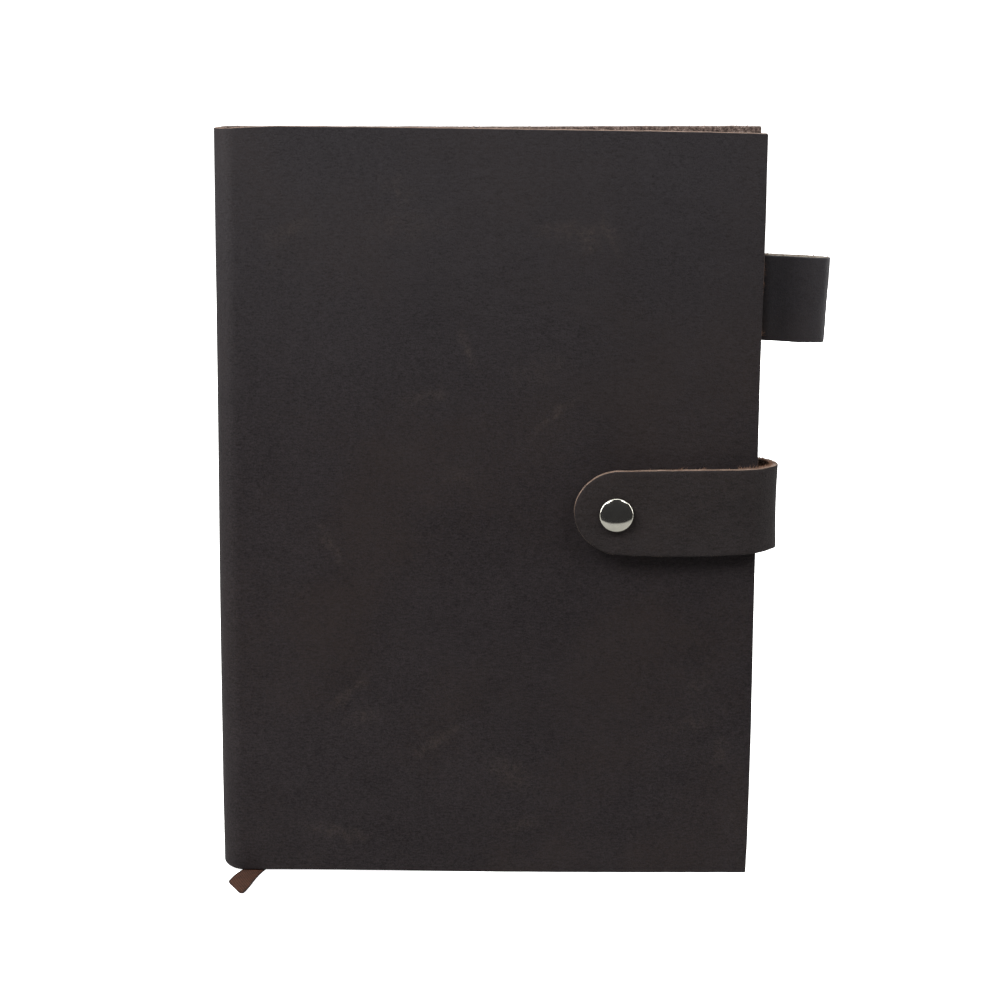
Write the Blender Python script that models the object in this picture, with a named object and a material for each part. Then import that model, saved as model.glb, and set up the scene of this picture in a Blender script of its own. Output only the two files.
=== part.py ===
"""Leather notebook cover with a snap strap, a pen loop and its notebook.

It stands closed on its bottom edges: +Z runs up the pages, -Y is the front of the
cover, the spine is at -X and the fore-edge, strap and pen loop are at +X.

Sizes below are in metres in the book's own frame: x from the spine's outermost
line, y from the front face towards the back, z from the bottom edge. An empty
puts that frame's middle over the world origin, and each fold has an empty on its
axis that carries what turns about it.
"""

import math

import bmesh
import bpy
from mathutils import Matrix, Vector

# The cover: one sheet of leather folded round the notebook.
COVER_WIDTH = 0.1555
COVER_HEIGHT = 0.220
COVER_DEPTH = 0.017
LEATHER = 0.0021
SPINE_BULGE = 0.0065
SPINE_DIP = 0.0010  # how far the sheet's top edge drops round the spine
SPINE_RAISE = 0.0006  # the ribbon runs under the spine and the front beside it
RAISE_X = (0.027, 0.080)  # where the front's bottom edge leaves and meets the table
CORNER = 0.0015
EDGE_ROUND = 0.00025
GAP = 0.0003

# The spine is half an ellipse. The sheet folds where the arc turns into the covers,
# and each fold's axis is on the sheet's outer face, so the sheet's inner side opens
# there as the cover is laid flat.
FOLD_ANGLE = 46
FOLD_SLIT_ANGLE = 1.6

# Strap.
STRAP_WIDTH = 0.0254
STRAP_MIDDLE_Z = 0.1110
STRAP_THICKNESS = 0.0020
STRAP_TIP_X = 0.1032
STRAP_LIFT = 0.0026  # clear space between the strap and the front
BEND_FRONT_X = 0.1510
BEND_BACK_X = 0.1555
BEND_REACH = 0.0067  # how far the bend stands out past the fore-edge
STRAP_FOLD_X = 0.15995
STRAP_FOLD_IN = 0.0022
TAB = 0.0008  # the thickness that a sewn end is pared down to
TAB_START_X = 0.1478
TAB_END_X = 0.1534

# Snap fastener.
SNAP_X = 0.1151
CAP_DIAMETER = 0.0104
CAP_HEIGHT = 0.0023
SOCKET_DIAMETER = 0.0090
SOCKET_BORE = 0.0044
STUD_FLANGE = 0.0080
STUD_DIAMETER = 0.0038
RIVET_DIAMETER = 0.0090
RIVET_SHANK = 0.0020
SHANK_HOLE = 0.0028

# Pen loop: a strip folded on itself and pressed flat.
LOOP_REACH = 0.0199
LOOP_HEIGHT = 0.0251
LOOP_MIDDLE_Z = 0.1711
LOOP_DROOP = 0.0008
LOOP_LEATHER = 0.0014
LOOP_DEPTH = 0.0042

# Notebook and the sleeves that hold its covers.
BOOK_BASE_Z = 0.0050
BOOK_HEIGHT = 0.210
BOOK_LEFT_X = 0.0056
BOOK_RIGHT_X = 0.1470
PAGE_SIZE = (0.1405, 0.206)
PAGE_FRONT_Y = 0.00525
PAGE_BACK_Y = 0.01215
BOOK_COVER = 0.0007
FRONT_BOARD_Y = 0.0030
BACK_BOARD_Y = 0.01375
BOOK_SPINE_X = 0.0034
FRONT_SLEEVE_Y = 0.00405
BACK_SLEEVE_Y = 0.01248
SLEEVE = 0.0009
SLEEVE_X = (0.093, 0.1530)
SLEEVE_Z = (0.004, 0.216)

# Ribbon bookmark.
RIBBON_WIDTH = 0.0068
RIBBON_THICKNESS = 0.0003
RIBBON_HEAD_X = 0.0105

BACK_INSIDE_Y = COVER_DEPTH - LEATHER
STRAP_FRONT_Y = -STRAP_LIFT - STRAP_THICKNESS
STRAP_BACK_Y = BACK_INSIDE_Y - GAP / 3
CAP_FRONT_Y = STRAP_FRONT_Y - GAP / 3 - CAP_HEIGHT
FULL_WIDTH = COVER_WIDTH + LOOP_REACH

FRAME_SHIFT = Vector((-FULL_WIDTH / 2, -(COVER_DEPTH + CAP_FRONT_Y) / 2, 0))
FOLD_X = SPINE_BULGE * (1 - math.cos(math.radians(FOLD_ANGLE)))
FOLD_OUT = COVER_DEPTH / 2 * math.sin(math.radians(FOLD_ANGLE))
SPINE_AXIS = Vector((FOLD_X, COVER_DEPTH / 2 + FOLD_OUT, 0))
FRONT_AXIS = Vector((FOLD_X, COVER_DEPTH / 2 - FOLD_OUT, 0))
WRAP_AXIS = Vector((STRAP_FOLD_X, STRAP_BACK_Y - STRAP_THICKNESS / 2 - STRAP_FOLD_IN, 0))
TAIL_AXIS = Vector((STRAP_FOLD_X, -STRAP_LIFT - STRAP_THICKNESS / 2 + STRAP_FOLD_IN, 0))


def clear_scene():
    """Remove every object that the file started with."""
    for obj in list(bpy.data.objects):
        bpy.data.objects.remove(obj, do_unlink=True)


def make_material(name, colour, roughness, metallic=0.0):
    """A plain Principled material."""
    material = bpy.data.materials.new(name)
    material.use_nodes = True
    shader = material.node_tree.nodes["Principled BSDF"]
    shader.inputs["Base Color"].default_value = (*colour, 1.0)
    shader.inputs["Roughness"].default_value = roughness
    shader.inputs["Metallic"].default_value = metallic
    return material


def make_axis(name, place, parent=None, parent_place=Vector((0, 0, 0))):
    """An empty at a place in the book's frame, carried by its parent."""
    axis = bpy.data.objects.new(name, None)
    bpy.context.collection.objects.link(axis)
    axis.parent = parent
    axis.location = place - parent_place
    return axis


def to_object(name, mesh_data, axis, axis_place, material, smooth=False):
    """An object on its axis, from a bmesh drawn in the book's frame."""
    bmesh.ops.recalc_face_normals(mesh_data, faces=mesh_data.faces)
    mesh_data.transform(Matrix.Translation(-axis_place))
    mesh = bpy.data.meshes.new(name)
    mesh_data.to_mesh(mesh)
    mesh_data.free()
    mesh.materials.append(material)
    obj = bpy.data.objects.new(name, mesh)
    bpy.context.collection.objects.link(obj)
    obj.parent = axis
    if smooth:
        mesh.shade_smooth()
        mesh.set_sharp_from_angle(angle=math.radians(35))
    return obj


def round_edges(obj, width=EDGE_ROUND, segments=2, angle=40):
    """Bevel the object's sharp edges."""
    bevel = obj.modifiers.new("Bevel", "BEVEL")
    bevel.width = width
    bevel.segments = segments
    bevel.limit_method = "ANGLE"
    bevel.angle_limit = math.radians(angle)
    return bevel


def extruded(outline, direction):
    """A prism: a closed outline of 3D points, pushed along a direction."""
    data = bmesh.new()
    face = data.faces.new([data.verts.new(point) for point in outline])
    moved = bmesh.ops.extrude_face_region(data, geom=[face])["geom"]
    verts = [item for item in moved if isinstance(item, bmesh.types.BMVert)]
    bmesh.ops.translate(data, verts=verts, vec=direction)
    return data


def cuboid(x, y, z):
    """A box between pairs of x, y and z."""
    outline = [(x[0], y[0], z[0]), (x[1], y[0], z[0]), (x[1], y[0], z[1]), (x[0], y[0], z[1])]
    return extruded(outline, Vector((0, y[1] - y[0], 0)))


def arc(centre, radii, start, end, steps):
    """Points of an elliptical arc between two angles, in degrees."""
    points = []
    for i in range(steps + 1):
        angle = math.radians(start + (end - start) * i / steps)
        points.append(
            (centre[0] + radii[0] * math.cos(angle), centre[1] + radii[1] * math.sin(angle))
        )
    return points


def add_hole(obj, axis, axis_place, diameter, y_span):
    """Cut a round hole along Y at the snap's centre."""
    cutter_data = bmesh.new()
    bmesh.ops.create_cone(
        cutter_data,
        cap_ends=True,
        segments=24,
        radius1=diameter / 2,
        radius2=diameter / 2,
        depth=y_span[1] - y_span[0],
    )
    cutter_data.transform(
        Matrix.Translation((SNAP_X, sum(y_span) / 2, STRAP_MIDDLE_Z))
        @ Matrix.Rotation(math.radians(90), 4, "X")
    )
    cutter = to_object(obj.name + "_cutter", cutter_data, axis, axis_place, obj.data.materials[0])
    cutter.hide_render = True
    cutter.display_type = "WIRE"
    hole = obj.modifiers.new("Hole", "BOOLEAN")
    hole.operation = "DIFFERENCE"
    hole.object = cutter


def turned(profile, steps=32):
    """A solid of revolution about the snap's Y axis.

    The profile lists (radius, y) from the axis at one end to the axis at the other.
    """
    data = bmesh.new()
    verts = [data.verts.new((SNAP_X + r, y, STRAP_MIDDLE_Z)) for r, y in profile]
    edges = [data.edges.new(pair) for pair in zip(verts, verts[1:])]
    bmesh.ops.spin(
        data,
        geom=verts + edges,
        cent=(SNAP_X, 0, STRAP_MIDDLE_Z),
        axis=(0, 1, 0),
        angle=math.tau,
        steps=steps,
        use_merge=True,
    )
    bmesh.ops.remove_doubles(data, verts=data.verts, dist=1e-7)
    return data


def spine_arc(start, end, steps):
    """Outline of a stretch of the spine in XY; angles run from the front, at -90, to the back."""
    centre = (SPINE_BULGE, COVER_DEPTH / 2)
    half = COVER_DEPTH / 2
    outer = arc(centre, (SPINE_BULGE, half), 180 - start, 180 - end, steps)
    inner = arc(centre, (SPINE_BULGE - LEATHER, half - LEATHER), 180 - end, 180 - start, steps)
    return outer, inner


def panel_sheet(side):
    """A cover panel with its share of the spine's curve, the full height of the sheet.

    side is -1 for the front and 1 for the back.
    """
    face = 0.0 if side < 0 else COVER_DEPTH
    outer, inner = spine_arc(side * (FOLD_ANGLE + FOLD_SLIT_ANGLE), side * 90, 10)
    outline = outer + [(COVER_WIDTH, face), (COVER_WIDTH, face - side * LEATHER)] + inner
    return extruded([(x, y, 0) for x, y in outline], Vector((0, 0, COVER_HEIGHT)))


def edge_trim(side):
    """The solid that a panel's corners and edges are cut to."""
    left, right = -0.01, COVER_WIDTH
    low = arc((right - CORNER, CORNER), (CORNER, CORNER), -90, 0, 4)
    high = arc((right - CORNER, COVER_HEIGHT - CORNER), (CORNER, CORNER), 0, 90, 4)
    if side < 0:
        start = [(left, SPINE_RAISE), (RAISE_X[0], SPINE_RAISE), (RAISE_X[1], 0)]
        points = start + low + high + [(left, COVER_HEIGHT)]
    else:
        points = [(left, 0)] + low + high + [(SPINE_BULGE, COVER_HEIGHT - SPINE_DIP)]
        points += [(left, COVER_HEIGHT - SPINE_DIP)]
    outline = [(x, -0.005, z) for x, z in points]
    return extruded(outline, Vector((0, COVER_DEPTH + 0.010, 0)))


def strap_path():
    """The middle line of the strap's bend, from the front to the back."""
    middle_y = (STRAP_FRONT_Y + STRAP_BACK_Y) / 2
    half = (STRAP_BACK_Y - STRAP_FRONT_Y - STRAP_THICKNESS) / 2
    crest = COVER_WIDTH + BEND_REACH - STRAP_THICKNESS / 2
    front = arc((BEND_FRONT_X, middle_y), (crest - BEND_FRONT_X, half), -90, 0, 12)
    back = arc((BEND_BACK_X, middle_y), (crest - BEND_BACK_X, half), 0, 90, 12)
    return front + back[1:]


def thickened(path, thickness):
    """The closed outline of a band of even thickness along a path in XY."""
    left, right = [], []
    for i, (x, y) in enumerate(path):
        before = path[max(i - 1, 0)]
        after = path[min(i + 1, len(path) - 1)]
        along = Vector((after[0] - before[0], after[1] - before[1])).normalized()
        side = Vector((-along.y, along.x)) * thickness / 2
        left.append((x + side.x, y + side.y))
        right.append((x - side.x, y - side.y))
    return left + right[::-1]


def build_panel(name, side, axis, axis_place, leather):
    """One cover panel, cut to its outline."""
    panel = to_object(name, panel_sheet(side), axis, axis_place, leather, smooth=True)
    cutter = to_object(name + "_trim", edge_trim(side), axis, axis_place, leather)
    cutter.hide_render = True
    cutter.display_type = "WIRE"
    trim = panel.modifiers.new("Trim", "BOOLEAN")
    trim.operation = "INTERSECT"
    trim.object = cutter
    return panel


def build_cover(axes, leather):
    """The folded sheet, as a front, a spine and a back."""
    back = build_panel("back_panel", 1, axes["book"], Vector(), leather)
    round_edges(back)
    front = build_panel("front_panel", -1, axes["front"], FRONT_AXIS, leather)
    add_hole(front, axes["front"], FRONT_AXIS, SHANK_HOLE, (-0.002, 0.004))
    round_edges(front)

    reach = FOLD_ANGLE - FOLD_SLIT_ANGLE
    outer, inner = spine_arc(-reach, reach, 20)
    rise = COVER_HEIGHT - SPINE_DIP - SPINE_RAISE
    ring = [(x, y, SPINE_RAISE) for x, y in outer + inner]
    spine = extruded(ring, Vector((0, 0, rise)))
    round_edges(to_object("spine_panel", spine, axes["spine"], SPINE_AXIS, leather, smooth=True))


def build_sleeves(axes, lining):
    """The two inner bands that the notebook's covers slip into."""
    front = cuboid(SLEEVE_X, (FRONT_SLEEVE_Y, FRONT_SLEEVE_Y + SLEEVE), SLEEVE_Z)
    round_edges(to_object("front_sleeve", front, axes["front"], FRONT_AXIS, lining))
    back = cuboid(SLEEVE_X, (BACK_SLEEVE_Y, BACK_SLEEVE_Y + SLEEVE), SLEEVE_Z)
    round_edges(to_object("back_sleeve", back, axes["book"], Vector(), lining))


def build_strap(axes, leather):
    """The strap: its sewn base, the bend round the fore-edge, and the tail."""
    low = STRAP_MIDDLE_Z - STRAP_WIDTH / 2
    rise = Vector((0, 0, STRAP_WIDTH))
    path = strap_path()

    tab_y = (STRAP_BACK_Y - TAB, STRAP_BACK_Y)
    thick_y = STRAP_BACK_Y - STRAP_THICKNESS
    end = BEND_BACK_X - 2 * GAP
    outline = [
        (TAB_START_X, tab_y[0], low),
        (TAB_END_X, tab_y[0], low),
        (TAB_END_X, thick_y, low),
        (end, thick_y, low),
        (end, tab_y[1], low),
        (TAB_START_X, tab_y[1], low),
    ]
    base = to_object("strap_base", extruded(outline, rise), axes["book"], Vector(), leather)
    round_edges(base, width=EDGE_ROUND / 2)

    bend = [(x, y, low) for x, y in thickened(path[1:-1], STRAP_THICKNESS)]
    wrap = extruded(bend, rise)
    round_edges(to_object("strap_wrap", wrap, axes["wrap"], WRAP_AXIS, leather, smooth=True))

    radius = STRAP_WIDTH / 2
    tip = arc((STRAP_TIP_X + radius, STRAP_MIDDLE_Z), (radius, radius), 90, 270, 24)
    right = BEND_FRONT_X - GAP
    side = tip + [(right, low), (right, low + STRAP_WIDTH)]
    tail_outline = [(x, STRAP_FRONT_Y, z) for x, z in side]
    tail_data = extruded(tail_outline, Vector((0, STRAP_THICKNESS, 0)))
    tail = to_object("strap_tail", tail_data, axes["tail"], TAIL_AXIS, leather)
    round_edges(tail)
    add_hole(tail, axes["tail"], TAIL_AXIS, SHANK_HOLE, (-0.006, -0.001))


def build_snap(axes, metal):
    """The snap fastener: cap and socket on the strap, stud and rivet on the front."""
    rim = CAP_DIAMETER / 2
    foot = STRAP_FRONT_Y - GAP / 3
    crown = [
        (rim * math.sin(math.radians(a)), foot - 0.0006 - (CAP_HEIGHT - 0.0006) * math.cos(math.radians(a)))
        for a in range(0, 91, 10)
    ]
    crown[0] = (0.0, crown[0][1])
    shank = RIVET_SHANK / 2
    cap = turned(crown + [(rim, foot), (shank, foot), (shank, -STRAP_LIFT + 0.0004), (0, -STRAP_LIFT + 0.0004)])
    to_object("snap_cap", cap, axes["tail"], TAIL_AXIS, metal, smooth=True)

    outer = SOCKET_DIAMETER / 2
    bore = SOCKET_BORE / 2
    back = -STRAP_LIFT + GAP / 3
    mouth = back + 0.0016
    eye = shank + GAP / 2
    ring = [(eye, back), (outer, back), (outer, mouth), (bore, mouth), (bore, back + 0.0005), (eye, back + 0.0005)]
    socket = turned(ring + ring[:1])
    to_object("snap_socket", socket, axes["tail"], TAIL_AXIS, metal, smooth=True)

    face = -GAP / 3
    flange = STUD_FLANGE / 2
    ball = STUD_DIAMETER / 2
    collar = shank + GAP / 2
    stud = [
        (collar, face),
        (flange, face),
        (flange, face - 0.0004),
        (ball * 0.85, face - 0.0005),
        (ball * 0.85, face - 0.0010),
        (ball, face - 0.0013),
        (ball * 0.85, face - 0.0016),
        (collar, face - 0.0016),
        (collar, face),
    ]
    to_object("snap_stud", turned(stud), axes["front"], FRONT_AXIS, metal, smooth=True)

    disc = RIVET_DIAMETER / 2
    inside = LEATHER + GAP / 3
    post = [(0, inside + 0.0005), (disc, inside + 0.0005), (disc, inside), (shank, inside), (shank, -0.0015), (0, -0.0015)]
    to_object("snap_post", turned(post), axes["front"], FRONT_AXIS, metal, smooth=True)


def build_pen_loop(axes, leather):
    """A strip folded on itself, its two ends pared and sewn inside the back."""
    back_y = STRAP_BACK_Y
    front_y = back_y - LOOP_DEPTH
    middle_y = (back_y + front_y) / 2
    half = LOOP_DEPTH / 2
    bend_x = COVER_WIDTH + LOOP_REACH - half
    inner = half - LOOP_LEATHER
    outline = [(TAB_START_X, back_y), (TAB_START_X, back_y - TAB), (TAB_END_X, back_y - TAB)]
    outline += [(TAB_END_X + 0.0012, front_y)]
    outline += arc((bend_x, middle_y), (half, half), -90, 90, 12)
    slit = [(x, y) for x, y in arc((bend_x, middle_y), (inner, inner), 90, -90, 8)]
    throat = TAB_END_X + 0.0024

    low = LOOP_MIDDLE_Z - LOOP_HEIGHT / 2
    rise = Vector((0, 0, LOOP_HEIGHT))
    strip = extruded([(x, y, low) for x, y in outline], rise)
    loop = to_object("pen_loop", strip, axes["book"], Vector(), leather, smooth=True)
    hollow_outline = slit + [(throat, middle_y - inner), (throat, middle_y + inner)]
    hollow_data = extruded(
        [(x, y, low - 0.002) for x, y in hollow_outline], rise + Vector((0, 0, 0.004))
    )
    hollow = to_object("pen_loop_cutter", hollow_data, axes["book"], Vector(), leather)
    hollow.hide_render = True
    hollow.display_type = "WIRE"
    opening = loop.modifiers.new("Opening", "BOOLEAN")
    opening.operation = "DIFFERENCE"
    opening.object = hollow
    for vert in loop.data.vertices:
        share = max(0.0, (vert.co.x - COVER_WIDTH) / LOOP_REACH)
        vert.co.z -= LOOP_DROOP * share


def build_notebook(axes, paper, board):
    """The notebook inside: its pages, its two covers and its spine."""
    z = (BOOK_BASE_Z, BOOK_BASE_Z + BOOK_HEIGHT)
    margin = (BOOK_HEIGHT - PAGE_SIZE[1]) / 2
    left = BOOK_SPINE_X + BOOK_COVER
    page_x = (left + GAP, left + GAP + PAGE_SIZE[0])
    pages = cuboid(page_x, (PAGE_FRONT_Y, PAGE_BACK_Y), (z[0] + margin, z[1] - margin))
    round_edges(to_object("page_block", pages, axes["book"], Vector(), paper))

    cover_x = (BOOK_LEFT_X, BOOK_RIGHT_X)
    front = cuboid(cover_x, (FRONT_BOARD_Y, FRONT_BOARD_Y + BOOK_COVER), z)
    to_object("notebook_front_cover", front, axes["front"], FRONT_AXIS, board)
    back = cuboid(cover_x, (BACK_BOARD_Y, BACK_BOARD_Y + BOOK_COVER), z)
    to_object("notebook_back_cover", back, axes["book"], Vector(), board)
    spine_y = (PAGE_FRONT_Y - 2 * GAP, PAGE_BACK_Y + 2 * GAP)
    spine = cuboid((BOOK_SPINE_X, left), spine_y, z)
    to_object("notebook_spine", spine, axes["spine"], SPINE_AXIS, board)


def ribbon_route():
    """The ribbon's middle line: over the head, down the first page, out on the table."""
    head = BOOK_BASE_Z + BOOK_HEIGHT - 0.0014
    page = (FRONT_BOARD_Y + BOOK_COVER + PAGE_FRONT_Y) / 2
    floor = RIBBON_THICKNESS / 2 + 0.00004
    bend = 0.0008
    x = RIBBON_HEAD_X
    route = [(x, page + 0.0040, head), (x, page + 0.0022, head)]
    route += [
        (x, page + bend + y, head - bend + z)
        for y, z in arc((0, 0), (bend, bend), 90, 180, 4)
    ]
    down = 12
    drop = 0.0030
    for i in range(1, down + 1):
        share = i / down
        z = head - bend - share * (head - bend - floor - drop)
        route.append((x - 0.0012 * share, page, z))
    route += [
        (x - 0.0012 - 0.0001 * i, page - drop + y, floor + drop + z)
        for i, (y, z) in enumerate(arc((0, 0), (drop, drop), 0, -90, 6))
    ][1:]
    end_x = 0.0060
    end_y = -0.0146
    start = route[-1]
    for i in range(1, 7):
        share = i / 6
        route.append(
            (
                start[0] + (end_x - start[0]) * share,
                start[1] + (end_y - start[1]) * share,
                floor,
            )
        )
    return [Vector(point) for point in route]


def build_ribbon(axes, silk):
    """The ribbon bookmark, a flat strip along its route with a slanting end."""
    route = ribbon_route()
    data = bmesh.new()
    rings = []
    for i, point in enumerate(route):
        before = route[max(i - 1, 0)]
        after = route[min(i + 1, len(route) - 1)]
        along = (after - before).normalized()
        across = Vector((1, 0, 0))
        across = (across - along * across.dot(along)).normalized()
        normal = along.cross(across) * RIBBON_THICKNESS / 2
        half = across * RIBBON_WIDTH / 2
        slant = along * (RIBBON_WIDTH * 0.75 if i == len(route) - 1 else 0.0)
        corners = [point - half - slant - normal, point + half + slant - normal]
        corners += [point + half + slant + normal, point - half - slant + normal]
        rings.append([data.verts.new(corner) for corner in corners])
    for ring, following in zip(rings, rings[1:]):
        for k in range(4):
            data.faces.new((ring[k], ring[(k + 1) % 4], following[(k + 1) % 4], following[k]))
    data.faces.new(rings[0])
    data.faces.new(rings[-1])
    to_object("ribbon_bookmark", data, axes["book"], Vector(), silk)


def main():
    clear_scene()
    leather = make_material("leather", (0.028, 0.024, 0.024), 0.55)
    lining = make_material("lining", (0.10, 0.06, 0.035), 0.85)
    metal = make_material("metal", (0.55, 0.54, 0.52), 0.2, metallic=1.0)
    paper = make_material("paper", (0.82, 0.78, 0.68), 0.9)
    board = make_material("board", (0.06, 0.05, 0.045), 0.7)
    silk = make_material("ribbon", (0.08, 0.032, 0.02), 0.6)

    book = make_axis("book_frame", FRAME_SHIFT)
    spine = make_axis("spine_fold", SPINE_AXIS, book)
    front = make_axis("front_fold", FRONT_AXIS, spine, SPINE_AXIS)
    wrap = make_axis("strap_back_fold", WRAP_AXIS, book)
    tail = make_axis("strap_front_fold", TAIL_AXIS, wrap, WRAP_AXIS)
    axes = {"book": book, "spine": spine, "front": front, "wrap": wrap, "tail": tail}

    build_cover(axes, leather)
    build_sleeves(axes, lining)
    build_strap(axes, leather)
    build_snap(axes, metal)
    build_pen_loop(axes, leather)
    build_notebook(axes, paper, board)
    build_ribbon(axes, silk)


main()
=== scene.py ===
"""Waxed leather notebook cover: the shapes and finishes of its pieces, and a soft studio.

Sizes are in metres. The book's own frame runs x from the spine's outermost line to the
fore-edge, y from the front cover's face towards the back, and z up from the bottom
edge; ORIGIN carries it to the frame that the loaded model stands in.
"""

import logging
import math
from dataclasses import dataclass
from enum import Enum
from typing import Any, Callable

import bpy
import numpy as np
from mathutils import Matrix, Vector


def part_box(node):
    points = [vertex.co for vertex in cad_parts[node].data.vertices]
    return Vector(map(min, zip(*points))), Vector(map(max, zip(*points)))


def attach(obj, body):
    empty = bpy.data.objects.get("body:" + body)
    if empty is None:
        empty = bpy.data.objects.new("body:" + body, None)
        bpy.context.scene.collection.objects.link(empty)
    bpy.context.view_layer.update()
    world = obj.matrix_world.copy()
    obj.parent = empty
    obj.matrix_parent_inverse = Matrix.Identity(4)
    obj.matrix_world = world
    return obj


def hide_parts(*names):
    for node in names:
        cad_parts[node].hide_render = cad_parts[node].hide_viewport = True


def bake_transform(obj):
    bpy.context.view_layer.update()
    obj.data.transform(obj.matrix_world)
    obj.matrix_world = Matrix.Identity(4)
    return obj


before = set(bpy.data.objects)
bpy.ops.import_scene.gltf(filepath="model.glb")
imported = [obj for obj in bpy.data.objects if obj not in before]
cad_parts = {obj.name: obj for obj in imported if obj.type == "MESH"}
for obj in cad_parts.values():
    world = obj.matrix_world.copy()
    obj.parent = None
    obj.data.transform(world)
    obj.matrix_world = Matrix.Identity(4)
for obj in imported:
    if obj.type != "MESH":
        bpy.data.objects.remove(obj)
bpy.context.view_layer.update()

log = logging.getLogger("notebook_cover")

ORIGIN = np.array([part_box("spine_panel")[0].x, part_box("front_panel")[0].y, 0.0])

Array = np.ndarray
Colour = tuple[float, float, float]


class Side(Enum):
    """Which side of its line of travel a sheet's grain faces."""

    LEFT = 1.0
    RIGHT = -1.0


class Body(Enum):
    """The moving bodies of the cover."""

    BACK = "back_cover"
    SPINE = "spine"
    FRONT = "front_cover"
    BEND = "strap_bend"
    END = "strap_end"


# ---------------------------------------------------------------- shader tools


class Value:
    """A socket of a material, with the arithmetic that its patterns are written in."""

    def __init__(self, nodes: "Nodes", socket: Any) -> None:
        """Wrap an output socket of one node tree."""
        self.nodes = nodes
        self.socket = socket

    def math(self, operation: str, *others: Any, first: bool = True) -> "Value":
        """Add a Math node.

        Args:
            operation: the Math node's operation.
            others: the numbers or values that it takes besides this one.
            first: whether this value goes in before the others.

        Returns:
            The node's result.
        """
        terms = (self, *others) if first else (*others, self)
        settings = {"operation": operation}
        return self.nodes.add("ShaderNodeMath", settings, dict(enumerate(terms)))

    def __add__(self, other: Any) -> "Value":
        """Sum."""
        return self.math("ADD", other)

    __radd__ = __add__

    def __mul__(self, other: Any) -> "Value":
        """Product."""
        return self.math("MULTIPLY", other)

    __rmul__ = __mul__

    def __sub__(self, other: Any) -> "Value":
        """Difference."""
        return self.math("SUBTRACT", other)

    def __rsub__(self, other: Any) -> "Value":
        """Difference, with this value taken away."""
        return self.math("SUBTRACT", other, first=False)

    def ramp(self, low: float, high: float) -> "Value":
        """A smooth step: 0 below low, 1 above high; low may be the greater."""
        return self.nodes.add(
            "ShaderNodeMapRange",
            {"interpolation_type": "SMOOTHSTEP", "clamp": True},
            {0: self, 1: low, 2: high, 3: 0.0, 4: 1.0},
        )

    def clamp(self) -> "Value":
        """Held between 0 and 1."""
        return self.nodes.add("ShaderNodeClamp", {}, {0: self})


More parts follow.
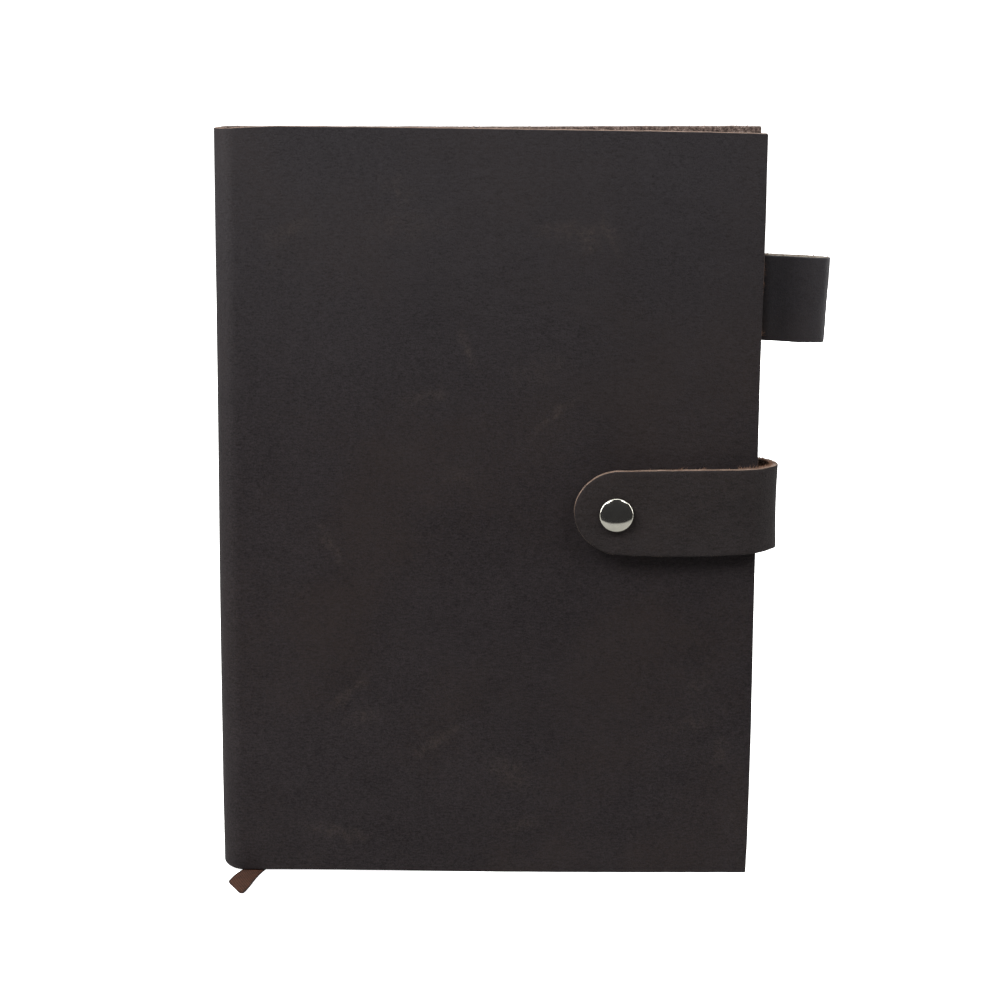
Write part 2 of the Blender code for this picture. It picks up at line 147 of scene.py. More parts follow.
class Nodes:
    """One material and the nodes that make it."""

    def __init__(self, name: str) -> None:
        """Start a material with a Principled shader."""
        self.material = bpy.data.materials.new(name)
        self.material.use_nodes = True
        self.tree = self.material.node_tree
        self.shader = self.tree.nodes["Principled BSDF"]

    def link(self, target: Any, value: Any) -> None:
        """Give a socket a value or a link.

        Args:
            target: an input socket.
            value: a Value to link, a number, or a colour of three numbers.
        """
        if isinstance(value, Value):
            self.tree.links.new(value.socket, target)
        elif target.type == "RGBA":
            target.default_value = (*value, 1.0)
        else:
            target.default_value = value

    def add(self, kind: str, settings: dict, inputs: dict, output: Any = 0) -> Value:
        """Add a node.

        Args:
            kind: the node's type.
            settings: its properties, set before its sockets.
            inputs: values or links by socket name or number.
            output: the name or number of the output that is wanted.

        Returns:
            That output.
        """
        node = self.tree.nodes.new(kind)
        for name, setting in settings.items():
            setattr(node, name, setting)
        for name, value in inputs.items():
            self.link(node.inputs[name], value)
        return Value(self, node.outputs[output])

    def place(self) -> Value:
        """The point on the object, in metres."""
        return self.add("ShaderNodeTexCoord", {}, {}, "Object")

    def along(self) -> Value:
        """The piece's own map: along it and across it, in metres."""
        return self.add("ShaderNodeUVMap", {"uv_map": "Flat"}, {})

    def axis(self, vector: Value, name: str) -> Value:
        """One part, X, Y or Z, of a vector."""
        return self.add("ShaderNodeSeparateXYZ", {}, {0: vector}, name)

    def mapped(self, vector: Value, scale: Any, turn: Any = (0, 0, 0)) -> Value:
        """The point turned and then scaled."""
        inputs = {"Vector": vector, "Rotation": turn, "Scale": scale}
        return self.add("ShaderNodeMapping", {"vector_type": "POINT"}, inputs)

    def noise(self, vector: Value, scale: float, detail: float = 3.0, rough: float = 0.5) -> Value:
        """Fractal noise around 0.5, with scale features to the metre."""
        inputs = {"Vector": vector, "Scale": scale, "Detail": detail, "Roughness": rough}
        return self.add("ShaderNodeTexNoise", {}, inputs, 0)

    def cells(self, vector: Value, scale: float) -> Value:
        """Distance to the nearest of scattered points, scale of them to the metre."""
        return self.add("ShaderNodeTexVoronoi", {}, {"Vector": vector, "Scale": scale}, 0)

    def warped(self, vector: Value, scale: float, reach: float) -> Value:
        """The point pushed about by noise, up to about half the reach."""
        inputs = {"Vector": vector, "Scale": scale, "Detail": 3.0}
        push = self.add("ShaderNodeTexNoise", {}, inputs, 1)
        settings = {"operation": "MULTIPLY_ADD"}
        centred = {0: push, 1: (reach, reach, reach), 2: (-reach / 2, -reach / 2, -reach / 2)}
        moved = self.add("ShaderNodeVectorMath", settings, centred)
        return self.add("ShaderNodeVectorMath", {"operation": "ADD"}, {0: vector, 1: moved})

    def mix(self, share: Any, first: Any, second: Any) -> Value:
        """A colour between two, by a share from 0 to 1."""
        inputs = {"Factor": share, 6: first, 7: second}
        return self.add("ShaderNodeMix", {"data_type": "RGBA"}, inputs, 2)

    def wave(self, vector: Value, pitch: float, direction: str, distortion: float) -> Value:
        """Stripes from 0 to 1, one to each pitch, across the X, Y or Z direction."""
        settings = {"wave_type": "BANDS", "bands_direction": direction}
        # A wave texture of scale 1 repeats every pi/10 of a unit.
        inputs = {"Vector": vector, "Scale": math.pi / 10 / pitch, "Distortion": distortion}
        return self.add("ShaderNodeTexWave", settings, inputs, 1)

    def finish(
        self,
        colour: Any,
        roughness: Any,
        height: Value | None = None,
        depth: float = 0.0001,
        **sockets: Any,
    ) -> bpy.types.Material:
        """Feed the shader.

        Args:
            colour: the base colour.
            roughness: the roughness.
            height: the bump pattern, from 0 to 1, if there is one.
            depth: how far a height of 1 stands out, in metres.
            sockets: other sockets of the shader, with _ for a space.

        Returns:
            The finished material.
        """
        self.link(self.shader.inputs["Base Color"], colour)
        self.link(self.shader.inputs["Roughness"], roughness)
        if height is not None:
            inputs = {"Height": height, "Distance": depth, "Strength": 1.0}
            normal = self.add("ShaderNodeBump", {}, inputs)
            self.link(self.shader.inputs["Normal"], normal)
        for name, value in sockets.items():
            self.link(self.shader.inputs[name.replace("_", " ")], value)
        return self.material


# -------------------------------------------------------------------- finishes


@dataclass(frozen=True)
class Scuff:
    """A pale rub mark in the wax: its middle and size in the book's x and z, and its turn."""

    x: float
    z: float
    length: float
    width: float
    turn: float = 0.0
    strength: float = 0.5


FRONT_SCUFFS = (
    Scuff(0.0215, 0.191, 0.010, 0.0040, 20, 0.35),
    Scuff(0.0520, 0.203, 0.008, 0.0045, -35, 0.30),
    Scuff(0.0545, 0.193, 0.016, 0.0060, 0, 0.25),
    Scuff(0.0990, 0.192, 0.010, 0.0030, 0, 0.50),
    Scuff(0.1065, 0.190, 0.007, 0.0035, 62, 0.60),
    Scuff(0.1120, 0.191, 0.008, 0.0025, -68, 0.60),
    Scuff(0.0720, 0.158, 0.009, 0.0022, -72, 0.55),
    Scuff(0.0930, 0.152, 0.012, 0.0060, 15, 0.30),
    Scuff(0.0615, 0.144, 0.010, 0.0030, 10, 0.40),
    Scuff(0.0975, 0.139, 0.010, 0.0018, 38, 0.60),
    Scuff(0.0700, 0.120, 0.008, 0.0030, -20, 0.35),
    Scuff(0.0330, 0.100, 0.009, 0.0022, -60, 0.55),
    Scuff(0.0385, 0.056, 0.010, 0.0020, 42, 0.60),
    Scuff(0.0420, 0.048, 0.008, 0.0030, 15, 0.40),
    Scuff(0.0635, 0.041, 0.010, 0.0022, 35, 0.55),
    Scuff(0.0850, 0.031, 0.010, 0.0050, -30, 0.50),
    Scuff(0.1470, 0.038, 0.006, 0.0028, 80, 0.45),
    Scuff(0.1370, 0.046, 0.009, 0.0030, 5, 0.40),
    Scuff(0.1400, 0.059, 0.008, 0.0028, 60, 0.35),
    Scuff(0.0340, 0.0125, 0.015, 0.0028, -12, 0.50),
    Scuff(0.0880, 0.0150, 0.009, 0.0030, 10, 0.40),
)


@dataclass(frozen=True)
class WaxedLeather:
    """Dark waxed hide: soft clouds, a fine lie of fibres, rub marks where wax has moved, and a painted
    sheen, paler and bluer towards the top.
    """

    name: str
    dark: Colour = (0.0094, 0.0077, 0.0084)
    light: Colour = (0.0318, 0.0264, 0.0280)
    brown: Colour = (0.0290, 0.0205, 0.0170)
    rubbed: Colour = (0.0720, 0.0560, 0.0460)
    # Paler, bluer tone: painted sheen towards the top, and the colour of pale streaks.
    sheen_and_streak_tone: Colour = (0.0325, 0.0300, 0.0325)
    gloss: float = 0.10
    matt: float = 0.56
    relief: float = 0.00014
    scuffs: tuple[Scuff, ...] = ()
    turn: float = 0.0

    def marks(self, nodes: Nodes, place: Value) -> Value:
        """The rub marks: ragged ovals that fade outwards, added together."""
        ragged = nodes.warped(place, 260.0, 0.006)
        total: Any = 0.0
        for scuff in self.scuffs:
            middle = (ORIGIN[0] + scuff.x, ORIGIN[1], scuff.z)
            inputs = {
                "Vector": ragged,
                "Location": middle,
                "Rotation": (0.0, -math.radians(scuff.turn), 0.0),
                "Scale": (scuff.length, 0.006, scuff.width),
            }
            oval = nodes.add("ShaderNodeMapping", {"vector_type": "TEXTURE"}, inputs)
            fade = nodes.add("ShaderNodeTexGradient", {"gradient_type": "SPHERICAL"}, {0: oval}, 1)
            total = fade * scuff.strength + total
        return total

    def material(self) -> bpy.types.Material:
        """Build the finish."""
        nodes = Nodes(self.name)
        place = nodes.place()
        loose = nodes.warped(place, 45.0, 0.03)
        cloud = nodes.noise(loose, 26.0, 4.0, 0.6)
        blotch = nodes.noise(nodes.warped(place, 120.0, 0.008), 95.0, 5.0, 0.62)
        lie = (0.0, math.radians(self.turn), 0.0)
        fibre = nodes.noise(nodes.mapped(place, (560.0, 1000.0, 1800.0), lie), 1.0, 4.0, 0.75)
        streak = nodes.noise(nodes.mapped(place, (70.0, 300.0, 420.0), lie), 1.0, 3.0, 0.6)
        speck = nodes.noise(place, 2300.0, 2.0, 0.8)
        fleck = nodes.noise(nodes.mapped(place, (1300.0, 1500.0, 2100.0)), 1.0, 2.0, 0.7)

        uneven = (cloud - 0.5) * 0.40 + (blotch - 0.5) * 0.45
        fine = (fibre - 0.5) * 1.7 + (speck - 0.5) * 1.9
        colour = nodes.mix((uneven + fine + 0.46).clamp(), self.dark, self.light)
        warm = nodes.noise(loose, 17.0, 2.0, 0.5).ramp(0.40, 0.70) * 0.40
        colour = nodes.mix((warm + (fleck - 0.5) * 1.2).clamp(), colour, self.brown)
        # Painted sheen: higher up the book, the colour is mixed towards the paler, bluer tone, broken by the
        # fine grain.
        top_sheen_share = nodes.axis(place, "Z").ramp(0.090, 0.225) * 0.55
        colour = nodes.mix((top_sheen_share * (fine * 1.1 + 1.0)).clamp(), colour, self.sheen_and_streak_tone)
        # Pale streaks along the fibres' lie, in the same tone: the leather's own colour.
        colour = nodes.mix(streak.ramp(0.58, 0.82) * 0.12, colour, self.sheen_and_streak_tone)

        wisps = nodes.noise(nodes.warped(place, 70.0, 0.02), 190.0, 6.0, 0.74)
        wisp = wisps.ramp(0.60, 0.82) * nodes.noise(place, 22.0, 1.0).ramp(0.50, 0.72)
        rubbing = wisp * 0.30
        if self.scuffs:
            broken = nodes.noise(nodes.warped(place, 500.0, 0.002), 620.0, 5.0, 0.75)
            rubbing = rubbing + self.marks(nodes, place) * broken.ramp(0.36, 0.72) * 0.95
        rubbing = (rubbing * (0.60 + speck.ramp(0.35, 0.65) * 0.6)).clamp()
        colour = nodes.mix(rubbing, colour, self.rubbed)

        rough = self.matt + blotch * 0.14 + rubbing * 0.12 - fibre * 0.05
        pores = nodes.cells(nodes.warped(place, 700.0, 0.0009), 1500.0).ramp(0.0, 0.55)
        height = fibre * 0.50 + pores * 0.35 + speck * 0.45 + blotch * 0.6
        return nodes.finish(colour, rough, height, self.relief, Specular_IOR_Level=self.gloss)


@dataclass(frozen=True)
class RawEdge:
    """The cut edge of the hide: pale felted fibre, darker towards the wax."""

    name: str = "raw_edge"
    pale: Colour = (0.300, 0.215, 0.165)
    deep: Colour = (0.085, 0.052, 0.038)

    def material(self) -> bpy.types.Material:
        """Build the finish."""
        nodes = Nodes(self.name)
        place = nodes.place()
        felt = nodes.noise(place, 2400.0, 4.0, 0.75)
        patch = nodes.noise(place, 210.0, 4.0, 0.65)
        share = (felt.ramp(0.30, 0.70) * 0.7 + patch.ramp(0.35, 0.70) * 0.45).clamp()
        colour = nodes.mix(share, self.deep, self.pale)
        return nodes.finish(colour, 0.92, felt + patch * 0.6, 0.0003, Specular_IOR_Level=0.2)


@dataclass(frozen=True)
class FleshSide:
    """The suede side of the hide: brown nap with dark and pale flecks."""

    name: str = "flesh_side"
    ground: Colour = (0.118, 0.083, 0.070)
    pale: Colour = (0.330, 0.255, 0.222)
    dark: Colour = (0.030, 0.022, 0.020)

    def material(self) -> bpy.types.Material:
        """Build the finish."""
        nodes = Nodes(self.name)
        place = nodes.place()
        nap = nodes.noise(nodes.warped(place, 700.0, 0.0008), 1500.0, 4.0, 0.8)
        brushed = nodes.noise(nodes.warped(place, 60.0, 0.02), 75.0, 4.0, 0.6)
        colour = nodes.mix(nap.ramp(0.36, 0.52), self.dark, self.ground)
        colour = nodes.mix(nap.ramp(0.50, 0.66), colour, self.pale)
        colour = nodes.mix(brushed.ramp(0.50, 0.80) * 0.3, colour, self.dark)
        return nodes.finish(colour, 0.95, nap, 0.0004, Specular_IOR_Level=0.15)


@dataclass(frozen=True)
class Nickel:
    """Bright nickel plate with fine handling marks."""

    name: str = "nickel"
    colour: Colour = (0.500, 0.485, 0.425)
    rough: float = 0.09

    def material(self) -> bpy.types.Material:
        """Build the finish."""
        nodes = Nodes(self.name)
        place = nodes.place()
        film = nodes.noise(place, 420.0, 4.0, 0.6)
        hairs = nodes.noise(nodes.mapped(place, (500.0, 500.0, 9000.0), (0.0, 0.6, 0.0)), 1.0, 2.0)
        tint = nodes.mix(film.ramp(0.35, 0.75), self.colour, tuple(c * 0.86 for c in self.colour))
        rough = self.rough + film * 0.06 + hairs.ramp(0.60, 0.80) * 0.08
        return nodes.finish(tint, rough, hairs, 0.000004, Metallic=1.0)


@dataclass(frozen=True)
class PaperEdge:
    """Cream pages: fine lines where the leaves meet."""

    name: str = "paper"
    page: Colour = (0.800, 0.755, 0.640)
    shade: Colour = (0.520, 0.470, 0.370)
    leaf: float = 0.00022

    def material(self) -> bpy.types.Material:
        """Build the finish."""
        nodes = Nodes(self.name)
        place = nodes.place()
        lines = nodes.wave(nodes.warped(place, 30.0, 0.0005), self.leaf, "Y", 2.0)
        tone = nodes.noise(nodes.mapped(place, (30.0, 3000.0, 30.0)), 1.0, 3.0, 0.6)
        share = (lines * 0.6 + tone.ramp(0.35, 0.65) * 0.6).clamp()
        colour = nodes.mix(share, self.page, self.shade)
        return nodes.finish(colour, 0.88, lines, 0.00006, Specular_IOR_Level=0.25)


@dataclass(frozen=True)
class PaperFace:
    """The open page: plain cream paper with a faint tooth."""

    name: str = "page"
    page: Colour = (0.780, 0.735, 0.620)
    shade: Colour = (0.690, 0.640, 0.520)

    def material(self) -> bpy.types.Material:
        """Build the finish."""
        nodes = Nodes(self.name)
        place = nodes.place()
        tooth = nodes.noise(place, 1600.0, 4.0, 0.7)
        tone = nodes.noise(place, 14.0, 3.0, 0.5)
        share = (tooth.ramp(0.40, 0.70) * 0.35 + tone * 0.25).clamp()
        colour = nodes.mix(share, self.page, self.shade)
        return nodes.finish(colour, 0.86, tooth, 0.00004, Specular_IOR_Level=0.25)


@dataclass(frozen=True)
class PressedCard:
    """Dark pressed card with a light tooth."""

    name: str = "card"
    colour: Colour = (0.050, 0.042, 0.036)
    worn: Colour = (0.130, 0.110, 0.092)

    def material(self) -> bpy.types.Material:
        """Build the finish."""
        nodes = Nodes(self.name)
        place = nodes.place()
        tooth = nodes.noise(place, 1500.0, 4.0, 0.7)
        wear = nodes.noise(place, 40.0, 4.0, 0.6).ramp(0.60, 0.85)
        colour = nodes.mix((tooth.ramp(0.45, 0.75) * 0.3 + wear * 0.3).clamp(), self.colour, self.worn)
        return nodes.finish(colour, 0.70 + wear * 0.15, tooth, 0.00008)


@dataclass(frozen=True)
class RibbonWeave:
    """Woven ribbon: steep diagonal ribs, and painted shade that darkens both long edges."""

    name: str = "ribbon_weave"
    warp: Colour = (0.086, 0.036, 0.023)
    weft: Colour = (0.022, 0.014, 0.010)
    # Near-black tone of the painted shade along both long edges.
    edge: Colour = (0.006, 0.005, 0.006)
    half: float = 0.0034

    def material(self) -> bpy.types.Material:
        """Build the finish."""
        nodes = Nodes(self.name)
        flat = nodes.along()
        ribs = nodes.wave(nodes.mapped(flat, (1, 1, 1), (0, 0, 1.05)), 0.00058, "X", 1.4)
        threads = nodes.wave(flat, 0.00016, "Y", 0.6)
        tone = nodes.noise(flat, 420.0, 4.0, 0.7)
        share = (ribs * 0.75 + (tone - 0.5) * 1.6 + threads * 0.20).clamp()
        colour = nodes.mix(share, self.weft, self.warp)
        # Painted shade: towards both long edges the colour goes to the near-black edge tone.
        from_middle = nodes.axis(flat, "Y").math("ABSOLUTE")
        painted_edge_shade = from_middle.ramp(self.half * 0.84, self.half * 0.96)
        colour = nodes.mix(painted_edge_shade, colour, self.edge)
        height = ribs + threads * 0.5
        return nodes.finish(colour, 0.70, height, 0.00006, Specular_IOR_Level=0.15)


@dataclass(frozen=True)
class Twine:
    """Thread or loose fibre of one colour, with a twist along it."""

    name: str
    colour: Colour
    shade: Colour
    pitch: float = 0.0006

    def material(self) -> bpy.types.Material:
        """Build the finish."""
        nodes = Nodes(self.name)
        place = nodes.place()
        twist = nodes.wave(nodes.mapped(place, (1, 1, 1), (0.0, 0.6, 0.0)), self.pitch, "Z", 0.4)
        tone = nodes.noise(place, 900.0, 3.0, 0.6)
        colour = nodes.mix((twist * 0.5 + tone * 0.5).clamp(), self.shade, self.colour)
        return nodes.finish(colour, 0.75, twist, 0.00004, Specular_IOR_Level=0.3)


@dataclass(frozen=True)
class StudioFloor:
    """Matt pale table."""

    name: str = "table"
    colour: Colour = (0.86, 0.86, 0.86)
    glow: float = 0.92

    def material(self) -> bpy.types.Material:
        """Build the finish."""
        nodes = Nodes(self.name)
        tooth = nodes.noise(nodes.place(), 300.0, 3.0)
        return nodes.finish(
            self.colour, 0.9 + tooth * 0.05, Specular_IOR_Level=0.0,
            Emission_Color=(1.0, 1.0, 1.0), Emission_Strength=self.glow,
        )


# ---------------------------------------------------------------- mesh tools


def ripple(points: Array, size: float, seed: int, waves: int = 7) -> Array:
    """Smooth unevenness, the sum of sine waves in seeded directions.

    Args:
        points: the places, in metres.
        size: the middle wavelength, in metres.
        seed: picks the directions and phases.
        waves: how many waves are added.

    Returns:
        A height for each point, mostly between -1 and 1.
    """
    rng = np.random.default_rng(seed)
    direction = rng.normal(size=(waves, points.shape[-1]))
    direction /= np.linalg.norm(direction, axis=1, keepdims=True)
    count = 2 * math.pi / (size * (0.6 + 0.8 * rng.random(waves)))
    phase = 2 * math.pi * rng.random(waves)
    return np.sin(points @ (direction * count[:, None]).T + phase).sum(-1) / math.sqrt(waves)


def smoothstep(value: Array, low: float, high: float) -> Array:
    """0 below low, 1 above high, and a smooth climb between."""
    share = np.clip((value - low) / (high - low), 0.0, 1.0)
    return share * share * (3 - 2 * share)


def bumps(place: Array, rows: tuple[tuple[float, float, float], ...]) -> Array:
    """The sum of size * exp(-((place - middle) / spread)^2) over rows of middle, spread, size."""
    return sum(
        size * np.exp(-(((place - middle) / spread) ** 2)) for middle, spread, size in rows
    )


def make_object(
    name: str,
    points: Array,
    faces: Array,
    materials: list[bpy.types.Material],
    slots: Array | None = None,
    flat: Array | None = None,
) -> bpy.types.Object:
    """Put arrays into a smooth-shaded mesh whose faces point outwards.

    The sum of p0 . (p1 x p2) over the faces' triangles is six times the volume, and its
    sign tells whether the faces point outwards.

    Args:
        name: the piece's name.
        points: its vertices in the book's frame.
        faces: corner numbers, four to a face; a triangle repeats its last corner.
        materials: its material slots.
        slots: the slot of each face.
        flat: the piece's own map for each vertex.

    Returns:
        The object, at the origin.
    """
    corners = points[faces]
    first = np.einsum("ij,ij->i", corners[:, 0], np.cross(corners[:, 1], corners[:, 2]))
    second = np.einsum("ij,ij->i", corners[:, 0], np.cross(corners[:, 2], corners[:, 3]))
    if (first + second).sum() < 0:
        faces = faces[:, ::-1]
    loops = [list(dict.fromkeys(face)) for face in faces.tolist()]
    mesh = bpy.data.meshes.new(name)
    mesh.from_pydata((points + ORIGIN).tolist(), [], loops)
    for material in materials:
        mesh.materials.append(material)
    if slots is not None:
        mesh.polygons.foreach_set("material_index", slots.astype(np.int32))
    if flat is not None:
        layer = mesh.uv_layers.new(name="Flat")
        corner = np.empty(len(mesh.loops), np.int32)
        mesh.loops.foreach_get("vertex_index", corner)
        layer.data.foreach_set("uv", flat[corner].astype(np.float32).ravel())
    mesh.shade_smooth()
    mesh.update()
    obj = bpy.data.objects.new(name, mesh)
    bpy.context.collection.objects.link(obj)
    return obj


def ring_faces(low: Array, high: Array) -> Array:
    """Quads between two closed rings of vertex numbers."""
    return np.stack([low, np.roll(low, -1), np.roll(high, -1), high], -1)


def arc(centre: tuple, radii: tuple, start: float, end: float, steps: int) -> Array:
    """Points of an elliptical arc: centre + radii * (cos, sin) of angles in degrees."""
    angle = np.radians(np.linspace(start, end, steps))
    return np.array(centre) + np.stack([np.cos(angle), np.sin(angle)], -1) * np.array(radii)


class Track:
    """A line in plan view that the grain side of a bent sheet follows."""

    def __init__(self, points: Array, side: Side) -> None:
        """Measure the line.

        Args:
            points: its points in x and y, in order of travel.
            side: the side of travel that the grain faces.
        """
        step = np.diff(points, axis=0)
        keep = np.concatenate([[True], np.hypot(step[:, 0], step[:, 1]) > 1e-7])
        self.points = points[keep]
        step = np.diff(self.points, axis=0)
        self.run = np.concatenate([[0.0], np.cumsum(np.hypot(step[:, 0], step[:, 1]))])
        along = np.gradient(self.points, axis=0)
        self.along = along / np.linalg.norm(along, axis=1, keepdims=True)
        self.side = side.value

    @property
    def length(self) -> float:
        """The line's whole length."""
        return float(self.run[-1])

    def read(self, table: Array, distance: Array) -> Array:
        """Each column of a table, read at distances along the line."""
        return np.stack([np.interp(distance, self.run, column) for column in table.T], -1)

    def place(self, distance: Array, depth: Array) -> Array:
        """Where a point of the sheet lies.

        It is the line's point at that distance, moved against the grain's normal by the
        depth; past either end the line goes straight on.

        Args:
            distance: how far along the sheet.
            depth: how far below the grain.

        Returns:
            x and y of each point.
        """
        along = self.read(self.along, distance)
        along /= np.linalg.norm(along, axis=-1, keepdims=True)
        out = self.side * np.stack([-along[..., 1], along[..., 0]], -1)
        beyond = distance - np.clip(distance, 0.0, self.length)
        return self.read(self.points, distance) + along * beyond[..., None] - out * depth[..., None]


@dataclass
class CutSheet:
    """A piece cut from hide of one thickness: drawn flat, then bent along a track."""

    thickness: float
    rounding: float = 0.00035
    steps: int = 4

    def rim(self) -> tuple[Array, Array]:
        """The edge's section: a quarter round, a straight drop and a quarter round.

        Returns:
            How far each ring of the rim stands out, and how deep it lies.
        """
        turn = np.linspace(0.0, math.pi / 2, self.steps)
        out = self.rounding * np.concatenate([np.sin(turn), np.cos(turn)])
        low = self.thickness - self.rounding
        round_over = self.rounding * (1 - np.cos(turn))
        return out, np.concatenate([round_over, low + self.rounding * np.sin(turn)])

    def build(
        self,
        name: str,
        along: Array,
        across: Array,
        outline: Callable[[Array], Array],
        bend: Callable[[Array, Array], Array],
        materials: list[bpy.types.Material],
        wobble: float = 0.0,
    ) -> bpy.types.Object:
        """Make the closed sheet.

        A grid of the grain side and one of the flesh side are joined by the rings of the
        rim, which stand out from the grid's border along its outward normal.

        Args:
            name: the piece's name.
            along: distances of the grid's columns.
            across: heights of its rows.
            outline: moves grid points onto the cut outline.
            bend: takes flat points and depths to the book's frame.
            materials: grain, edge and flesh.
            wobble: how unevenly the knife ran, in metres.

        Returns:
            The object.
        """
        columns, rows = np.meshgrid(along, across)
        flat = outline(np.stack([columns, rows], -1)).reshape(-1, 2)
        index = np.arange(columns.size).reshape(columns.shape)
        border = [index[0, :-1], index[:-1, -1], index[-1, :0:-1], index[:0:-1, 0]]
        loop = np.concatenate(border)
        ahead = np.roll(flat[loop], -1, 0) - np.roll(flat[loop], 1, 0)
        normal = np.stack([ahead[:, 1], -ahead[:, 0]], -1)
        normal /= np.linalg.norm(normal, axis=1, keepdims=True)

        out, deep = self.rim()
        uneven = wobble * ripple(flat[loop], 0.006, len(name))
        stand = out[1:-1, None] + uneven[None, :] * np.sin(np.linspace(0, math.pi, len(out) - 2))[:, None]
        rings = flat[loop][None] + stand[..., None] * normal[None]
        count = flat.shape[0]
        everything = np.concatenate([flat, flat, rings.reshape(-1, 2)])
        depths = [np.zeros(count), np.full(count, self.thickness), np.repeat(deep[1:-1], len(loop))]
        points = bend(everything, np.concatenate(depths))

        quads = np.stack([index[:-1, :-1], index[:-1, 1:], index[1:, 1:], index[1:, :-1]], -1)
        grain = quads.reshape(-1, 4)
        ring_numbers = 2 * count + np.arange(rings.shape[0] * len(loop)).reshape(-1, len(loop))
        chain = [loop, *ring_numbers, loop + count]
        edge = [ring_faces(upper, lower)[:, ::-1] for upper, lower in zip(chain, chain[1:])]
        faces = np.concatenate([grain, grain[:, ::-1] + count, *edge])
        dark_rings = self.steps // 2
        slot = [0 if k < dark_rings else 1 for k in range(len(edge))]
        slots = np.concatenate([
            np.zeros(len(grain)), np.full(len(grain), 2), np.repeat(slot, len(loop)),
        ])
        return make_object(name, points, faces, materials, slots, everything)


def round_corners(radius: float, low: tuple, high: tuple, which: str) -> Callable[[Array], Array]:
    """An outline function that rounds some corners of a rectangle.

    In the square of side radius at a corner, with a and b from 0 to 1 towards it, the
    point goes to (a sqrt(1 - b^2/2), b sqrt(1 - a^2/2)), which takes the square to a
    quarter of a disc.

    Args:
        radius: the corner's radius.
        low: the rectangle's lowest distance and height.
        high: its highest.
        which: "start", "end" or "both" ends.

    Returns:
        The function.
    """

    def outline(flat: Array) -> Array:
        """Round the corners of these points."""
        result = flat.copy()
        ends = {"start": [-1], "end": [1], "both": [-1, 1]}[which]
        for end in ends:
            for up in (-1, 1):
                corner = np.array([low[0] if end < 0 else high[0], low[1] if up < 0 else high[1]])
                sign = np.array([end, up])
                centre = corner - sign * radius
                share = np.clip((flat - centre) * sign / radius, 0.0, 1.0)
                a, b = share[..., 0], share[..., 1]
                disc = np.stack([a * np.sqrt(1 - b * b / 2), b * np.sqrt(1 - a * a / 2)], -1)
                inside = (a > 0) & (b > 0)
                result[inside] = (centre + sign * radius * disc)[inside]
        return result

    return outline


def spaced(low: float, high: float, step: float, fine: float = 0.0, fine_ends: str = "both") -> Array:
    """Grid lines from low to high about step apart, closer within fine of the ends."""
    parts = [np.linspace(low, high, max(2, round((high - low) / step) + 1))]
    if fine and fine_ends in ("both", "start"):
        parts.append(np.linspace(low, low + fine, 7))
    if fine and fine_ends in ("both", "end"):
        parts.append(np.linspace(high - fine, high, 7))
    lines = np.sort(np.concatenate(parts))
    keep = np.concatenate([[True], np.diff(lines) > 1e-5])
    return lines[keep]


# -------------------------------------------------------------------- pieces


class Kit:
    """The finishes that the pieces share."""

    def __init__(self) -> None:
        """Make every finish once."""
        self.grain = WaxedLeather("cover_leather", scuffs=FRONT_SCUFFS).material()
        self.strap_grain = WaxedLeather(
            "strap_leather", dark=(0.0115, 0.0098, 0.0100), light=(0.0355, 0.0300, 0.0300), turn=4.0
        ).material()
        self.loop_grain = WaxedLeather(
            "loop_leather", dark=(0.0076, 0.0067, 0.0086), light=(0.0238, 0.0205, 0.0260), turn=-8.0,
            gloss=0.60, matt=0.38, relief=0.00006,
        ).material()
        self.edge = RawEdge().material()
        self.rough_edge = FleshSide("rough_edge", ground=(0.150, 0.108, 0.090)).material()
        self.loop_edge = RawEdge(
            "loop_edge", pale=(0.380, 0.345, 0.285), deep=(0.120, 0.098, 0.078)
        ).material()
        self.flesh = FleshSide().material()
        self.metal = Nickel().material()
        self.paper = PaperEdge().material()
        self.page = PaperFace().material()
        self.card = PressedCard().material()
        self.ribbon = RibbonWeave().material()
        self.thread = Twine("waxed_thread", (0.060, 0.040, 0.030), (0.020, 0.014, 0.012)).material()
        self.fluff = Twine("loose_fibre", (0.300, 0.165, 0.105), (0.110, 0.058, 0.038)).material()


